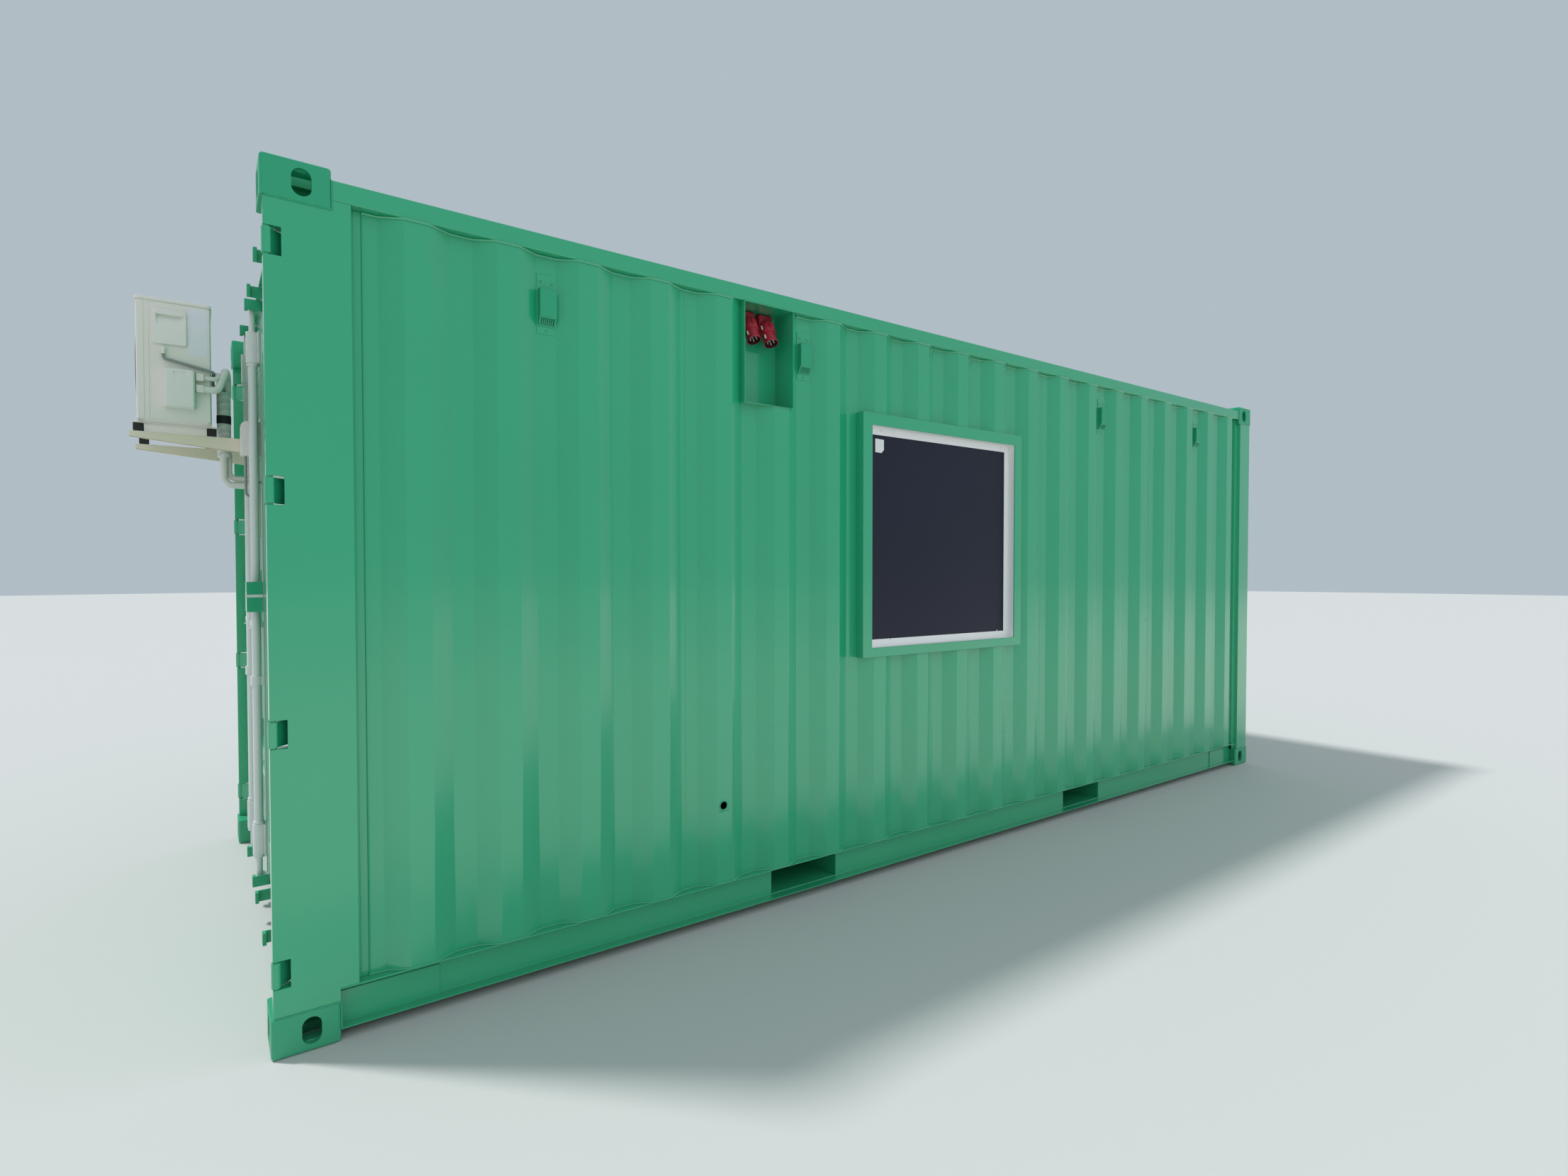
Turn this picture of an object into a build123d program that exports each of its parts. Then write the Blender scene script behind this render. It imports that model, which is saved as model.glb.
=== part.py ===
from build123d import *
import os

# A twenty-foot steel freight container turned into a site cabin, in millimetres.
# X runs along the length, from the door end (-X) to the closed rear end (+X).
# Y runs across: the side with the window and the power inlets faces -Y.
# Z is up, and the four bottom corner fittings stand on Z = 0.

# Outside size of the container
length = 6058.0
width = 2438.0
height = 2591.0

# Cast corner fittings
fitting_length = 178.0
fitting_width = 162.0
fitting_height = 118.0
fitting_side_wall = 15.0
fitting_slot_plate = 28.0
fitting_slot_length = 124.5
fitting_slot_width = 63.5
fitting_slot_from_end = 102.25
fitting_slot_from_side = 89.5
fitting_eye_width = 51.0
fitting_eye_height = 79.5
fitting_eye_level = 62.0
fitting_edge_radius = 10.0
fitting_cut_overrun = 1.0

# Posts, sill, header and rails
skin_setback = 5.0
post_plate = 6.0
wing_plate = 3.0
door_post_front = 7.0
door_post_wing = 228.0
door_post_seam = 260.0
post_reveal = 50.0
post_landing_depth = 122.0
post_landing_edge = 72.0
post_back = 152.0
joggle_run = 10.0
rear_post_face = 146.0
rear_post_step = 20.0
rear_post_step_run = 4.0
rear_post_strip = 32.0
rear_post_seam = 200.0
rear_post_return = 152.0
end_frame_face = 76.0
underframe_bottom = 34.0
sill_depth = 100.0
sill_foot = 60.0
sill_plate = 4.5
header_height = 130.0
header_depth = 90.0
header_landing_drop = 36.0
header_lip_height = 16.0
header_lip_out = 20.0
header_plate = 4.0
top_rail_size = 60.0
top_rail_wall = 3.0
top_rail_drop = 31.0
bottom_rail_top = 161.0
bottom_rail_flange = 48.0
bottom_rail_plate = 4.5
rear_rail_setback = 8.0
rear_bottom_rail_height = 100.0
rail_gusset_length = 288.0
rail_gusset_height = 96.0
rail_gusset_plate = 6.0

# Corrugated walls
wall_sheet = 2.0
wall_depth = 36.0
wall_pitch = 281.0
wall_outer_flat = 72.0
wall_inner_flat = 70.0
wall_first_slope = 304.0
wall_flats_to_middle = 10
rear_wall_depth = 46.0
rear_wall_pitch = 250.0
rear_wall_outer_flat = 110.0
rear_wall_inner_flat = 104.0

# Roof sheet
roof_sheet = 2.0
roof_rib_height = 20.0
roof_rib_pitch = 209.0
roof_rib_flat = 91.0
roof_rib_slope = 13.5
roof_rib_run_out = 50.0
roof_flat_side = 20.0
roof_margin = 20.0
roof_overlap = 40.0

# Underframe and floor
cross_member_height = 122.0
cross_member_top_flange = 45.0
cross_member_bottom_flange = 40.0
cross_member_plate = 4.0
cross_member_lift = 2.0
cross_members_per_bay = 5
floor_thickness = 28.0
floor_edge_gap = 4.0
fork_pocket_spacing = 2072.0
fork_pocket_middle = -22.0
fork_pocket_width = 355.0
fork_pocket_plate = 4.0
fork_pocket_strap = 6.0
fork_pocket_strap_length = 200.0

# Door leaves and their rubber seals
door_face = 65.0
door_thickness = 50.0
door_bottom = 169.0
door_head_gap = 8.0
door_edge_gap = 8.0
door_centre_gap = 16.0
door_stile = 100.0
door_rail = 150.0
door_frame_plate = 4.0
door_panel_lap = 15.0
door_panel_depth = 36.0
door_rib_count = 3
door_rib_flat = 160.0
door_rib_slope = 40.0
seal_thickness = 3.0
seal_front = 18.0
seal_depth = 27.0
seal_centre_front = -2.0

# Hinges
hinge_lowest = 245.0
hinge_lower_step = 696.0
hinge_upper_step = 707.0
hinge_highest_drop = 242.0
hinge_pin_inset = 16.0
hinge_pin_radius = 8.0
hinge_pin_clearance = 0.05
hinge_pin_bite = 1.0
hinge_knuckle_radius = 13.0
hinge_knuckle_height = 74.0
hinge_blade_thickness = 12.0
hinge_blade_reach = 190.0
hinge_pocket_height = 82.0
hinge_pocket_depth = 51.0
hinge_pocket_throat = 66.0
hinge_lug_height = 16.0

# Lock rods of the left door, and the keepers of all four rods
rod_radius = 17.0
rod_depth = 43.0
rod_inner = 130.0
rod_outer = 572.0
rod_neck_radius = 12.0
rod_collar_radius = 21.0
rod_collar_height = 12.0
rod_running_clearance = 0.1
sleeve_radius = 23.0
sleeve_length = 130.0
sleeve_foot_width = 90.0
sleeve_foot_plate = 5.0
low_sleeve_inset = 39.0
high_sleeve_inset = 10.0
collar_gap = 0.3
guide_level = 948.0
guide_length = 40.0
guide_foot_width = 40.0
cam_reach = 28.0
cam_shoulder = 22.0
cam_width = 20.0
cam_height = 34.0
keeper_above_door = 96.0
keeper_below_door = 65.0
keeper_height = 44.0
keeper_plate = 8.0
keeper_projection = 60.0
keeper_lip_gap = 5.0
keeper_lip_overlap = 10.0
keeper_side_gap = 6.0
hub_level = 1170.0
hub_height = 40.0
hub_ear = 6.0
hub_ear_gap = 1.0
hub_reach = 50.0
handle_pivot = 36.0
handle_pin_radius = 6.0
handle_pin_clearance = 0.05
handle_length = 360.0
handle_height = 26.0
handle_thickness = 8.0
handle_rest_from_tip = 50.0
handle_rest_width = 40.0
handle_rest_plate = 5.0
handle_rest_gap = 5.0
handle_rest_reach = 36.0
handle_rest_leg = 45.0

# Lock box over the rods
lock_box_near = 14.0
lock_box_width = 91.0
lock_box_front = 6.0
lock_box_bottom = 1243.0
lock_box_height = 124.0
lock_box_plate = 4.0
lock_bar_level = 1303.0
lock_bar_height = 12.0
lock_bar_thickness = 4.0
lock_bar_front = 1.0

# Window in its pressed steel frame
window_left = 2262.0
window_width = 1131.0
window_bottom = 1017.0
window_height = 1113.0
window_side_face = 57.0
window_bottom_face = 43.0
window_top_face = 55.0
window_proud = 12.0
window_frame_depth = 80.0
window_frame_plate = 3.0
window_pane_setback = 45.0
window_pane_thickness = 24.0
window_trim_width = 34.0
window_trim_thickness = 2.0
window_trim_front = 6.0

# Power inlet recess and its two five-pin inlets
recess_left = 1629.0
recess_width = 246.0
recess_height = 408.0
recess_depth = 130.0
recess_plate = 3.0
recess_proud = 4.0
inlet_places = (1712.0, 1800.0)
inlet_drop = 48.0
inlet_base_width = 66.0
inlet_base_height = 86.0
inlet_base_depth = 34.0
inlet_radius = 32.0
inlet_wall = 3.0
inlet_length = 96.0
inlet_cup = 40.0
inlet_tilt = 25.0
inlet_pin_radius = 3.0
inlet_pin_circle_radius = 14.0
inlet_pins = 5

# Sheet steel air vents in the inner flats of the long walls
vents_each_way = 2
vent_spacing_in_flats = 4
vent_drop = 65.0
vent_height = 205.0
vent_width = 68.0
vent_plate = 2.0
vent_body_width = 58.0
vent_body_foot = 23.0
vent_body_head = 152.0
vent_body_knee = 60.0
vent_stand = 26.0

# Cable hole in the front wall
cable_hole_from_end = 1528.0
cable_hole_level = 475.0
cable_hole_radius = 17.0

# Outdoor air conditioner, on two arms on the left door
cooler_width = 650.0
cooler_depth = 241.0
cooler_height = 482.0
cooler_near_side = 135.0
cooler_clearance = 98.0
cooler_corner = 16.0
cooler_lid = 14.0
cooler_lid_overhang = 3.0
cooler_runner = 5.0
cooler_runner_width = 50.0
cooler_runner_overhang = 20.0
cooler_foot_height = 33.0
cooler_foot_size = 34.0
cooler_fan_from_far_side = 262.0
cooler_fan_level = 245.0
cooler_fan_opening = 190.0
cooler_fan_recess = 70.0
guard_thickness = 12.0
guard_rim_width = 14.0
guard_hub_radius = 46.0
guard_ring_width = 6.0
guard_rings = 4
guard_spokes = 8
guard_spoke_width = 6.0
fan_radius = 178.0
fan_hub_radius = 48.0
fan_blades = 3
fan_depth = 44.0
fan_blade_thickness = 4.0
upper_cover_back = 77.0
upper_cover_width = 112.0
upper_cover_bottom = 298.0
upper_cover_height = 142.0
upper_cover_stand = 14.0
lower_cover_back = 51.0
lower_cover_width = 106.0
lower_cover_bottom = 48.0
lower_cover_height = 160.0
lower_cover_stand = 45.0
cover_corner = 10.0
valve_length = 26.0
valve_width = 30.0
large_valve_rise = 135.0
small_valve_rise = 181.0

# The arms under it
arm_drop = 445.0
arm_near = 250.0
arm_spacing = 420.0
arm_width = 40.0
arm_root_height = 64.0
arm_tip_height = 21.0
arm_reach = 369.0
arm_plate = 3.0
arm_leg_height = 420.0
arm_leg_plate = 6.0

# Lagged pipes and the wrapped bundle they go down in
bundle_across = 310.0
bundle_out = 54.0
bundle_radius = 25.0
bundle_below_arms = 77.0
bundle_above_arms = 203.0
pipe_lap = 20.0
large_pipe_radius = 14.0
large_pipe_bend = 24.0
large_pipe_arch = 92.0
large_pipe_shift = 14.0
small_pipe_radius = 9.0
small_pipe_bend = 18.0
small_pipe_arch = 28.0
small_pipe_shift = -14.0
pipe_straight = 45.0
pipe_turn_across = 40.0
pipe_turn_shift = -9.0
large_hose_radius = 14.0
large_hose_bend = 34.0
large_hose_drop = 116.0
large_hose_shift = -2.0
small_hose_radius = 12.0
small_hose_bend = 26.0
small_hose_drop = 86.0
small_hose_shift = 16.0

# Supply cable of the outdoor unit, from under its upper cover down into the bundle
supply_cable_radius = 4.0
supply_cable_bend = 7.0
supply_cable_back = 154.0
supply_cable_stand = 14.0
supply_cable_start = 286.0
supply_cable_pass = 222.0
supply_cable_behind = 5.5
supply_cable_turn = 70.0
supply_cable_over_bundle = 17.0

# Cowl on the left door and the cable that loops out of it
cowl_near_side = 165.0
cowl_width = 60.0
cowl_height = 148.0
cowl_front = 1.0
cowl_round = 28.0
cowl_sleeve_radius = 22.0
cowl_sleeve_rise = 46.5
cowl_cable_radius = 5.0
cowl_cable_out = 17.0
cowl_cable_bend = 14.0
cowl_cable_drop = 168.0
cowl_cable_loop = 32.0
cowl_cable_rise = 60.0

# Places worked out from the sizes above
door_end = -length / 2
rear_end = length / 2
front_side = -width / 2
front_skin = front_side + skin_setback
door_outer_face = door_end + door_face
door_back_face = door_outer_face + door_thickness
door_panel_face = door_outer_face + door_frame_plate
door_recess_face = door_panel_face + door_panel_depth
top_rail_top = height - top_rail_drop
top_rail_bottom = top_rail_top - top_rail_size
header_bottom = top_rail_top - header_height
door_top = header_bottom - door_head_gap
door_rib_pitch = (door_top - door_bottom - 2 * door_rail) / door_rib_count
door_free_edge = door_centre_gap / 2
door_hinge_edge = width / 2 - post_reveal - door_edge_gap
floor_level = underframe_bottom + cross_member_lift + cross_member_height
wall_slope = (wall_pitch - wall_outer_flat - wall_inner_flat) / 2
rear_wall_slope = (rear_wall_pitch - rear_wall_outer_flat - rear_wall_inner_flat) / 2
wall_centre = door_end + wall_first_slope + wall_pitch * wall_flats_to_middle - wall_inner_flat / 2
hinge_axis_x = door_end + hinge_pin_inset
hinge_axis_y = width / 2 - hinge_pin_inset
hinge_highest = height - hinge_highest_drop
hinge_levels = (hinge_lowest, hinge_lowest + hinge_lower_step,
                hinge_highest - hinge_upper_step, hinge_highest)
rod_axis_x = door_end + rod_depth
keeper_low_level = door_bottom - keeper_below_door
keeper_high_level = door_top + keeper_above_door
low_sleeve = door_bottom + low_sleeve_inset
high_sleeve = door_top - high_sleeve_inset - sleeve_length
window_face = front_skin - window_proud
window_pane_face = window_face + window_pane_setback
recess_bottom = top_rail_bottom - recess_height
inlet_level = top_rail_bottom - inlet_drop
vent_bottom = top_rail_bottom - vent_drop - vent_height
arm_top = door_top - arm_drop
cooler_back = door_end - cooler_clearance
cooler_front = cooler_back - cooler_depth
cooler_bottom = arm_top + cooler_foot_height + cooler_runner
cooler_far_side = cooler_near_side + cooler_width
cooler_fan_y = cooler_far_side - cooler_fan_from_far_side
cooler_fan_z = cooler_bottom + cooler_fan_level
valve_end = cooler_back - lower_cover_back + valve_length
valve_middle = cooler_near_side - valve_width / 2
bundle_x = door_end - bundle_out
bundle_bottom = arm_top - bundle_below_arms
bundle_top = arm_top + bundle_above_arms
cowl_sleeve_level = (door_bottom + door_top) / 2 + door_rib_pitch
cowl_bottom = cowl_sleeve_level - cowl_sleeve_rise


def block(xs, ys, zs):
    """Box between two values on each axis, given in any order."""
    size = Vector(abs(xs[1] - xs[0]), abs(ys[1] - ys[0]), abs(zs[1] - zs[0]))
    middle = Vector(sum(xs) / 2, sum(ys) / 2, sum(zs) / 2)
    return Pos(middle) * Box(size.X, size.Y, size.Z)


def folded_outline(points, plate):
    """Face of a folded plate: points follow one skin, and the other skin is mitred on their left."""
    path = [Vector(*p) for p in points]
    runs = [(b - a).normalized() for a, b in zip(path, path[1:])]
    lefts = [Vector(-r.Y, r.X) for r in runs]
    other = [path[0] + lefts[0] * plate]
    for before, after, corner in zip(lefts, lefts[1:], path[1:]):
        other.append(corner + (before + after) * (plate / (1 + before.dot(after))))
    other.append(path[-1] + lefts[-1] * plate)
    return make_face(Polyline(*path, *reversed(other), close=True))


def tube_outline(points, plate):
    """Face of a closed hollow section with the outer corners given."""
    outer = make_face(Polyline(*points, close=True))
    return outer - offset(outer, amount=-plate, kind=Kind.INTERSECTION)


def standing(face, low, high):
    """A plan outline raised from one level to another."""
    return extrude(Pos(0, 0, low) * face, amount=high - low, dir=(0, 0, 1))


def across(face, side_a, side_b):
    """An outline drawn as (X, Z) carried across the container along Y."""
    turned = Plane(origin=(0, side_a, 0), x_dir=(1, 0, 0), z_dir=(0, -1, 0)) * face
    return extrude(turned, amount=side_b - side_a, dir=(0, 1, 0))


def lengthways(face, end_a, end_b):
    """An outline drawn as (Y, Z) carried along the container along X."""
    turned = Plane(origin=(end_a, 0, 0), x_dir=(0, 1, 0), z_dir=(1, 0, 0)) * face
    return extrude(turned, amount=end_b - end_a, dir=(1, 0, 0))


def round_bar(radius, start, end):
    """Round bar between two points."""
    a, b = Vector(*start), Vector(*end)
    return extrude(Plane(origin=a, z_dir=b - a) * Circle(radius), amount=(b - a).length)


def bent_pipe(radius, points, bend):
    """Round pipe along straight runs joined by tangent arcs."""
    path = FilletPolyline(*points, radius=bend)
    return sweep(Plane(origin=path @ 0, z_dir=path % 0) * Circle(radius), path=path)


def mirrored(shape):
    """The same piece on the other long side."""
    return mirror(shape, about=Plane.XZ)


def both_sides(shape):
    """A piece and its mirror image."""
    return [shape, mirrored(shape)]


def corner_fitting(end, side, top):
    """Hollow cast corner with a slot in its outer level face and an eye in each outer side face."""
    def along(distance):
        return end * (length / 2 - distance)

    def beside(distance):
        return side * (width / 2 - distance)

    def level(distance):
        return height - distance if top else distance

    body = block((along(0), along(fitting_length)), (beside(0), beside(fitting_width)),
                 (level(0), level(fitting_height)))
    outer_face = body.faces().sort_by(Axis.Z)[-1 if top else 0]
    body = fillet(body.edges().filter_by(Axis.Z) + outer_face.edges(), fitting_edge_radius)
    body -= block((along(fitting_side_wall), along(fitting_length - fitting_side_wall)),
                  (beside(fitting_side_wall), beside(fitting_width - fitting_side_wall)),
                  (level(fitting_slot_plate), level(fitting_height - fitting_side_wall)))
    slot = Pos(along(fitting_slot_from_end), beside(fitting_slot_from_side), level(fitting_slot_plate / 2))
    slot_shape = SlotOverall(fitting_slot_length, fitting_slot_width)
    body -= slot * extrude(slot_shape, amount=fitting_slot_plate, both=True)
    eye = SlotOverall(fitting_eye_height, fitting_eye_width, rotation=90)
    side_eye = Plane(origin=(along(fitting_slot_from_end), beside(0), level(fitting_eye_level)),
                     x_dir=(1, 0, 0), z_dir=(0, -1, 0)) * eye
    cut = fitting_side_wall + fitting_cut_overrun
    body -= extrude(side_eye, amount=cut, both=True)
    end_eye = Plane(origin=(along(0), beside(fitting_slot_from_side), level(fitting_eye_level)),
                    x_dir=(0, 1, 0), z_dir=(1, 0, 0)) * eye
    return body - extrude(end_eye, amount=cut, both=True)


def corner_fittings(top):
    """Four fittings of one level."""
    return [corner_fitting(end, side, top) for end in (-1, 1) for side in (-1, 1)]


def fitting_spaces():
    """Blocks the size of the eight fittings, cut from pieces that meet them."""
    spaces = []
    for end in (-1, 1):
        for side in (-1, 1):
            for low, high in ((0, fitting_height), (height - fitting_height, height)):
                spaces.append(block((end * length / 2, end * (length / 2 - fitting_length)),
                                    (side * width / 2, side * (width / 2 - fitting_width)), (low, high)))
    return spaces


def between_posts(section):
    """Carry a beam's section across the door end, trimmed to the fittings and the posts' landings."""
    reach = width / 2 - post_reveal
    beam = across(section, -reach, reach)
    for space in fitting_spaces():
        beam -= space
    for side in (-1, 1):
        beam -= block((door_end + post_landing_depth, door_end + post_back),
                      (side * width / 2, side * (width / 2 - post_landing_edge)),
                      (fitting_height, height - fitting_height))
    return beam


def hinge_pocket(level):
    """Space cut into the right door post where a hinge blade turns."""
    zs = (level - hinge_pocket_height / 2, level + hinge_pocket_height / 2)
    reveal = front_side + post_reveal
    mouth = block((door_end, door_end + hinge_pocket_depth), (front_side, reveal), zs)
    throat = block((door_end, door_end + hinge_pocket_throat), (reveal - post_plate, reveal), zs)
    return mouth + throat


def hinge_lugs(level):
    """Two lugs inside the post with the hinge pin between them."""
    half = hinge_pocket_height / 2
    xs = (door_end + door_post_front + post_plate, door_end + hinge_pocket_depth + post_plate)
    ys = (front_skin + post_plate, front_side + post_reveal - post_plate)
    pin = Pos(hinge_axis_x, -hinge_axis_y, level) * Cylinder(hinge_pin_radius, 2 * (half + hinge_pin_bite))
    lower = block(xs, ys, (level - half - hinge_lug_height, level - half))
    upper = block(xs, ys, (level + half, level + half + hinge_lug_height))
    return lower + upper + pin


def door_post():
    """Right door post: folded plate section with a wing to the wall, hinge pockets and lugs."""
    front = door_end + door_post_front
    back = door_end + post_back
    reveal = front_side + post_reveal
    landing_edge = front_side + post_landing_edge
    landing = door_end + post_landing_depth
    section = tube_outline([(front, front_skin), (back, front_skin), (back, landing_edge),
                            (landing, landing_edge), (landing, reveal), (front, reveal)], post_plate)
    post = standing(section, fitting_height, height - fitting_height)
    post += block((back, door_end + fitting_length), (front_skin, front_skin + wing_plate),
                  (fitting_height, height - fitting_height))
    wing = folded_outline([
        (door_end + fitting_length, front_skin), (door_end + door_post_wing, front_skin),
        (door_end + door_post_wing + joggle_run, front_skin + wall_depth),
        (door_end + door_post_seam, front_skin + wall_depth)], wing_plate)
    post += standing(wing, bottom_rail_top, top_rail_bottom)
    for level in hinge_levels:
        post = post - hinge_pocket(level) + hinge_lugs(level)
    return post


def rear_post():
    """Front post of the rear end: an angle that steps in to a strip and a wing beside the long wall."""
    end = rear_end - skin_setback
    back = rear_end - fitting_length
    face_edge = rear_end - rear_post_face
    strip = front_skin + rear_post_step
    strip_edge = face_edge - rear_post_step_run - rear_post_strip
    section = folded_outline([
        (end - rear_wall_depth, front_side + rear_post_return + joggle_run),
        (end, front_side + rear_post_return), (end, front_skin), (face_edge, front_skin),
        (face_edge - rear_post_step_run, strip), (back, strip)], -post_plate)
    wing = folded_outline([
        (back, strip), (strip_edge, strip), (strip_edge - rear_post_step_run, front_skin + wall_depth),
        (rear_end - rear_post_seam, front_skin + wall_depth)], -wing_plate)
    post = standing(section, fitting_height, height - fitting_height)
    return post + standing(wing, bottom_rail_top, top_rail_bottom)


def door_sill():
    """Pressed channel under the doors."""
    face = door_end + end_frame_face
    return between_posts(folded_outline([
        (face + sill_foot, underframe_bottom), (face, underframe_bottom), (face, bottom_rail_top),
        (face + sill_depth, bottom_rail_top), (face + sill_depth, underframe_bottom)], -sill_plate))


def door_header():
    """Hollow pressed beam over the doors, with a lip along its top and the doors' landing at its foot."""
    face = door_end + end_frame_face
    lip = face - header_lip_out
    lip_foot = top_rail_top - header_lip_height
    landing = door_end + post_landing_depth
    back = face + header_depth
    drop = header_bottom - header_landing_drop
    return between_posts(tube_outline([
        (face, header_bottom), (face, lip_foot), (lip, lip_foot), (lip, top_rail_top), (back, top_rail_top),
        (back, drop), (landing, drop), (landing, header_bottom)], header_plate))


def top_side_rail():
    """Square tube over the front wall."""
    back = front_skin + top_rail_size
    section = tube_outline([(front_skin, top_rail_bottom), (back, top_rail_bottom), (back, top_rail_top),
                            (front_skin, top_rail_top)], top_rail_wall)
    reach = length / 2 - fitting_length
    return lengthways(section, -reach, reach)


def bottom_side_rail():
    """Channel under the front wall, open outwards, cut at the fork pockets and plated at its ends."""
    web = front_skin + bottom_rail_flange
    section = folded_outline([
        (front_skin, bottom_rail_top), (web, bottom_rail_top), (web, underframe_bottom),
        (front_skin, underframe_bottom)], -bottom_rail_plate)
    reach = length / 2 - fitting_length
    rail = lengthways(section, -reach, reach)
    gusset_foot = underframe_bottom + bottom_rail_plate
    for side in (-1, 1):
        middle = fork_pocket_middle + side * fork_pocket_spacing / 2
        half = fork_pocket_width / 2
        rail -= block((middle - half, middle + half), (web - bottom_rail_plate, web),
                      (underframe_bottom + fork_pocket_strap, floor_level - fork_pocket_plate))
        rail += block((side * reach, side * (reach - rail_gusset_length)),
                      (web - bottom_rail_plate, web - bottom_rail_plate - rail_gusset_plate),
                      (gusset_foot, gusset_foot + rail_gusset_height))
    return rail


def rear_rail(low, high):
    """Square tube across the rear end."""
    outer = rear_end - rear_rail_setback
    inner = outer - top_rail_size
    section = tube_outline([(inner, low), (outer, low), (outer, high), (inner, high)], top_rail_wall)
    reach = width / 2 - fitting_width
    return across(section, -reach, reach)


def wall_points(start, stop):
    """Plan line of the front wall's outer skin between two places along X."""
    inner_skin = front_skin + wall_depth
    half_in = wall_inner_flat / 2
    turns = [(start - wall_pitch, inner_skin)]
    for n in range(-wall_flats_to_middle, wall_flats_to_middle):
        middle = wall_centre + n * wall_pitch
        rise = middle + half_in + wall_slope
        turns += [(middle + half_in, inner_skin), (rise, front_skin), (rise + wall_outer_flat, front_skin),
                  (middle + wall_pitch - half_in, inner_skin)]
    turns.append((stop + wall_pitch, inner_skin))

    def line_at(x):
        for (xa, ya), (xb, yb) in zip(turns, turns[1:]):
            if xa <= x <= xb:
                return ya + (yb - ya) * (x - xa) / (xb - xa)

    inside = [p for p in turns if start < p[0] < stop]
    return [(start, line_at(start))] + inside + [(stop, line_at(stop))]


def wall_piece(start, stop, low, high):
    """A stretch of the front wall's corrugated sheet, cut square at both ends."""
    line = wall_points(start - wall_depth, stop + wall_depth)
    sheet = standing(folded_outline(line, wall_sheet), low, high)
    return sheet & block((start, stop), (front_side, front_skin + 2 * wall_depth), (low, high))


def long_wall():
    """The whole corrugated sheet between the posts, on the front side."""
    start = door_end + door_post_seam
    stop = rear_end - rear_post_seam
    return wall_piece(start, stop, bottom_rail_top, top_rail_bottom)


def front_wall():
    """The front wall, with the window, the inlet recess and a cable hole cut through it."""
    ys = (front_side, front_skin + 2 * wall_depth)
    left = door_end + window_left
    sheet = long_wall()
    sheet -= block((left, left + window_width), ys, (window_bottom, window_bottom + window_height))
    sheet -= block((door_end + recess_left, door_end + recess_left + recess_width), ys,
                   (recess_bottom, top_rail_bottom))
    hole = door_end + cable_hole_from_end
    return sheet - round_bar(cable_hole_radius, (hole, ys[0], cable_hole_level),
                             (hole, ys[1], cable_hole_level))


def back_wall():
    """The other long wall, one unbroken corrugated sheet."""
    return mirrored(long_wall())


def rear_wall():
    """Corrugated sheet of the closed end, deeper than the long walls."""
    outer = rear_end - skin_setback
    inner = outer - rear_wall_depth
    stop = width / 2 - rear_post_return - joggle_run
    half_in = rear_wall_inner_flat / 2
    count = int(stop / rear_wall_pitch)
    points = [(inner, -stop)]
    for n in range(-count, count):
        middle = n * rear_wall_pitch
        rise = middle + half_in + rear_wall_slope
        points += [(inner, middle + half_in), (outer, rise), (outer, rise + rear_wall_outer_flat),
                   (inner, middle + rear_wall_pitch - half_in)]
    points.append((inner, stop))
    return standing(folded_outline(points, wall_sheet), bottom_rail_top, top_rail_bottom)


def roof_outline(rib_height):
    """Roof sheet seen from the side, with its ribs raised to the given height."""
    start = door_end + fitting_length
    stop = rear_end - fitting_length
    count = int((stop - start - 2 * roof_margin) / roof_rib_pitch)
    first = (start + stop - count * roof_rib_pitch) / 2
    rib_foot = roof_rib_flat + 2 * roof_rib_slope
    points = [(stop, top_rail_top)]
    for n in reversed(range(count)):
        foot = first + n * roof_rib_pitch + (roof_rib_pitch - rib_foot) / 2
        crest = top_rail_top + rib_height
        points += [(foot + rib_foot, top_rail_top), (foot + rib_foot - roof_rib_slope, crest),
                   (foot + roof_rib_slope, crest), (foot, top_rail_top)]
    points.append((start, top_rail_top))
    upper = [(x, z + roof_sheet) for x, z in reversed(points)]
    return make_face(Polyline(*points, *upper, close=True))


def roof():
    """Stamped roof sheet between the end frames: ribs that run out flat before the side rails."""
    inside_rails = width / 2 - skin_setback - top_rail_size
    flat_from = inside_rails - roof_flat_side
    ribbed = flat_from - roof_rib_run_out
    edge = inside_rails + roof_overlap
    full = roof_outline(roof_rib_height)
    nearly_flat = roof_outline(roof_sheet / 100)
    sheet = across(full, -ribbed, ribbed)
    for side in (-1, 1):
        ends = []
        for y, face in ((side * ribbed, full), (side * flat_from, nearly_flat)):
            ends.append(Plane(origin=(0, y, 0), x_dir=(1, 0, 0), z_dir=(0, -1, 0)) * face)
        sheet += loft(ends, ruled=True)
        sheet += block((door_end + fitting_length, rear_end - fitting_length),
                       (side * flat_from, side * edge), (top_rail_top, top_rail_top + roof_sheet))
    return sheet


def roof_end_plates():
    """Flat plates between the top fittings, from the roof sheet to the header and to the rear rail."""
    reach = width / 2 - fitting_width
    zs = (top_rail_top, top_rail_top + roof_sheet)
    return [block((door_end + end_frame_face, door_end + fitting_length), (-reach, reach), zs),
            block((rear_end - rear_rail_setback, rear_end - fitting_length), (-reach, reach), zs)]


def floor():
    """Plywood floor on the cross members."""
    edge = width / 2 - skin_setback - bottom_rail_flange - floor_edge_gap
    start = door_end + end_frame_face + sill_depth + floor_edge_gap
    stop = rear_end - rear_rail_setback - top_rail_size - floor_edge_gap
    return block((start, stop), (-edge, edge), (floor_level, floor_level + floor_thickness))


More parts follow.
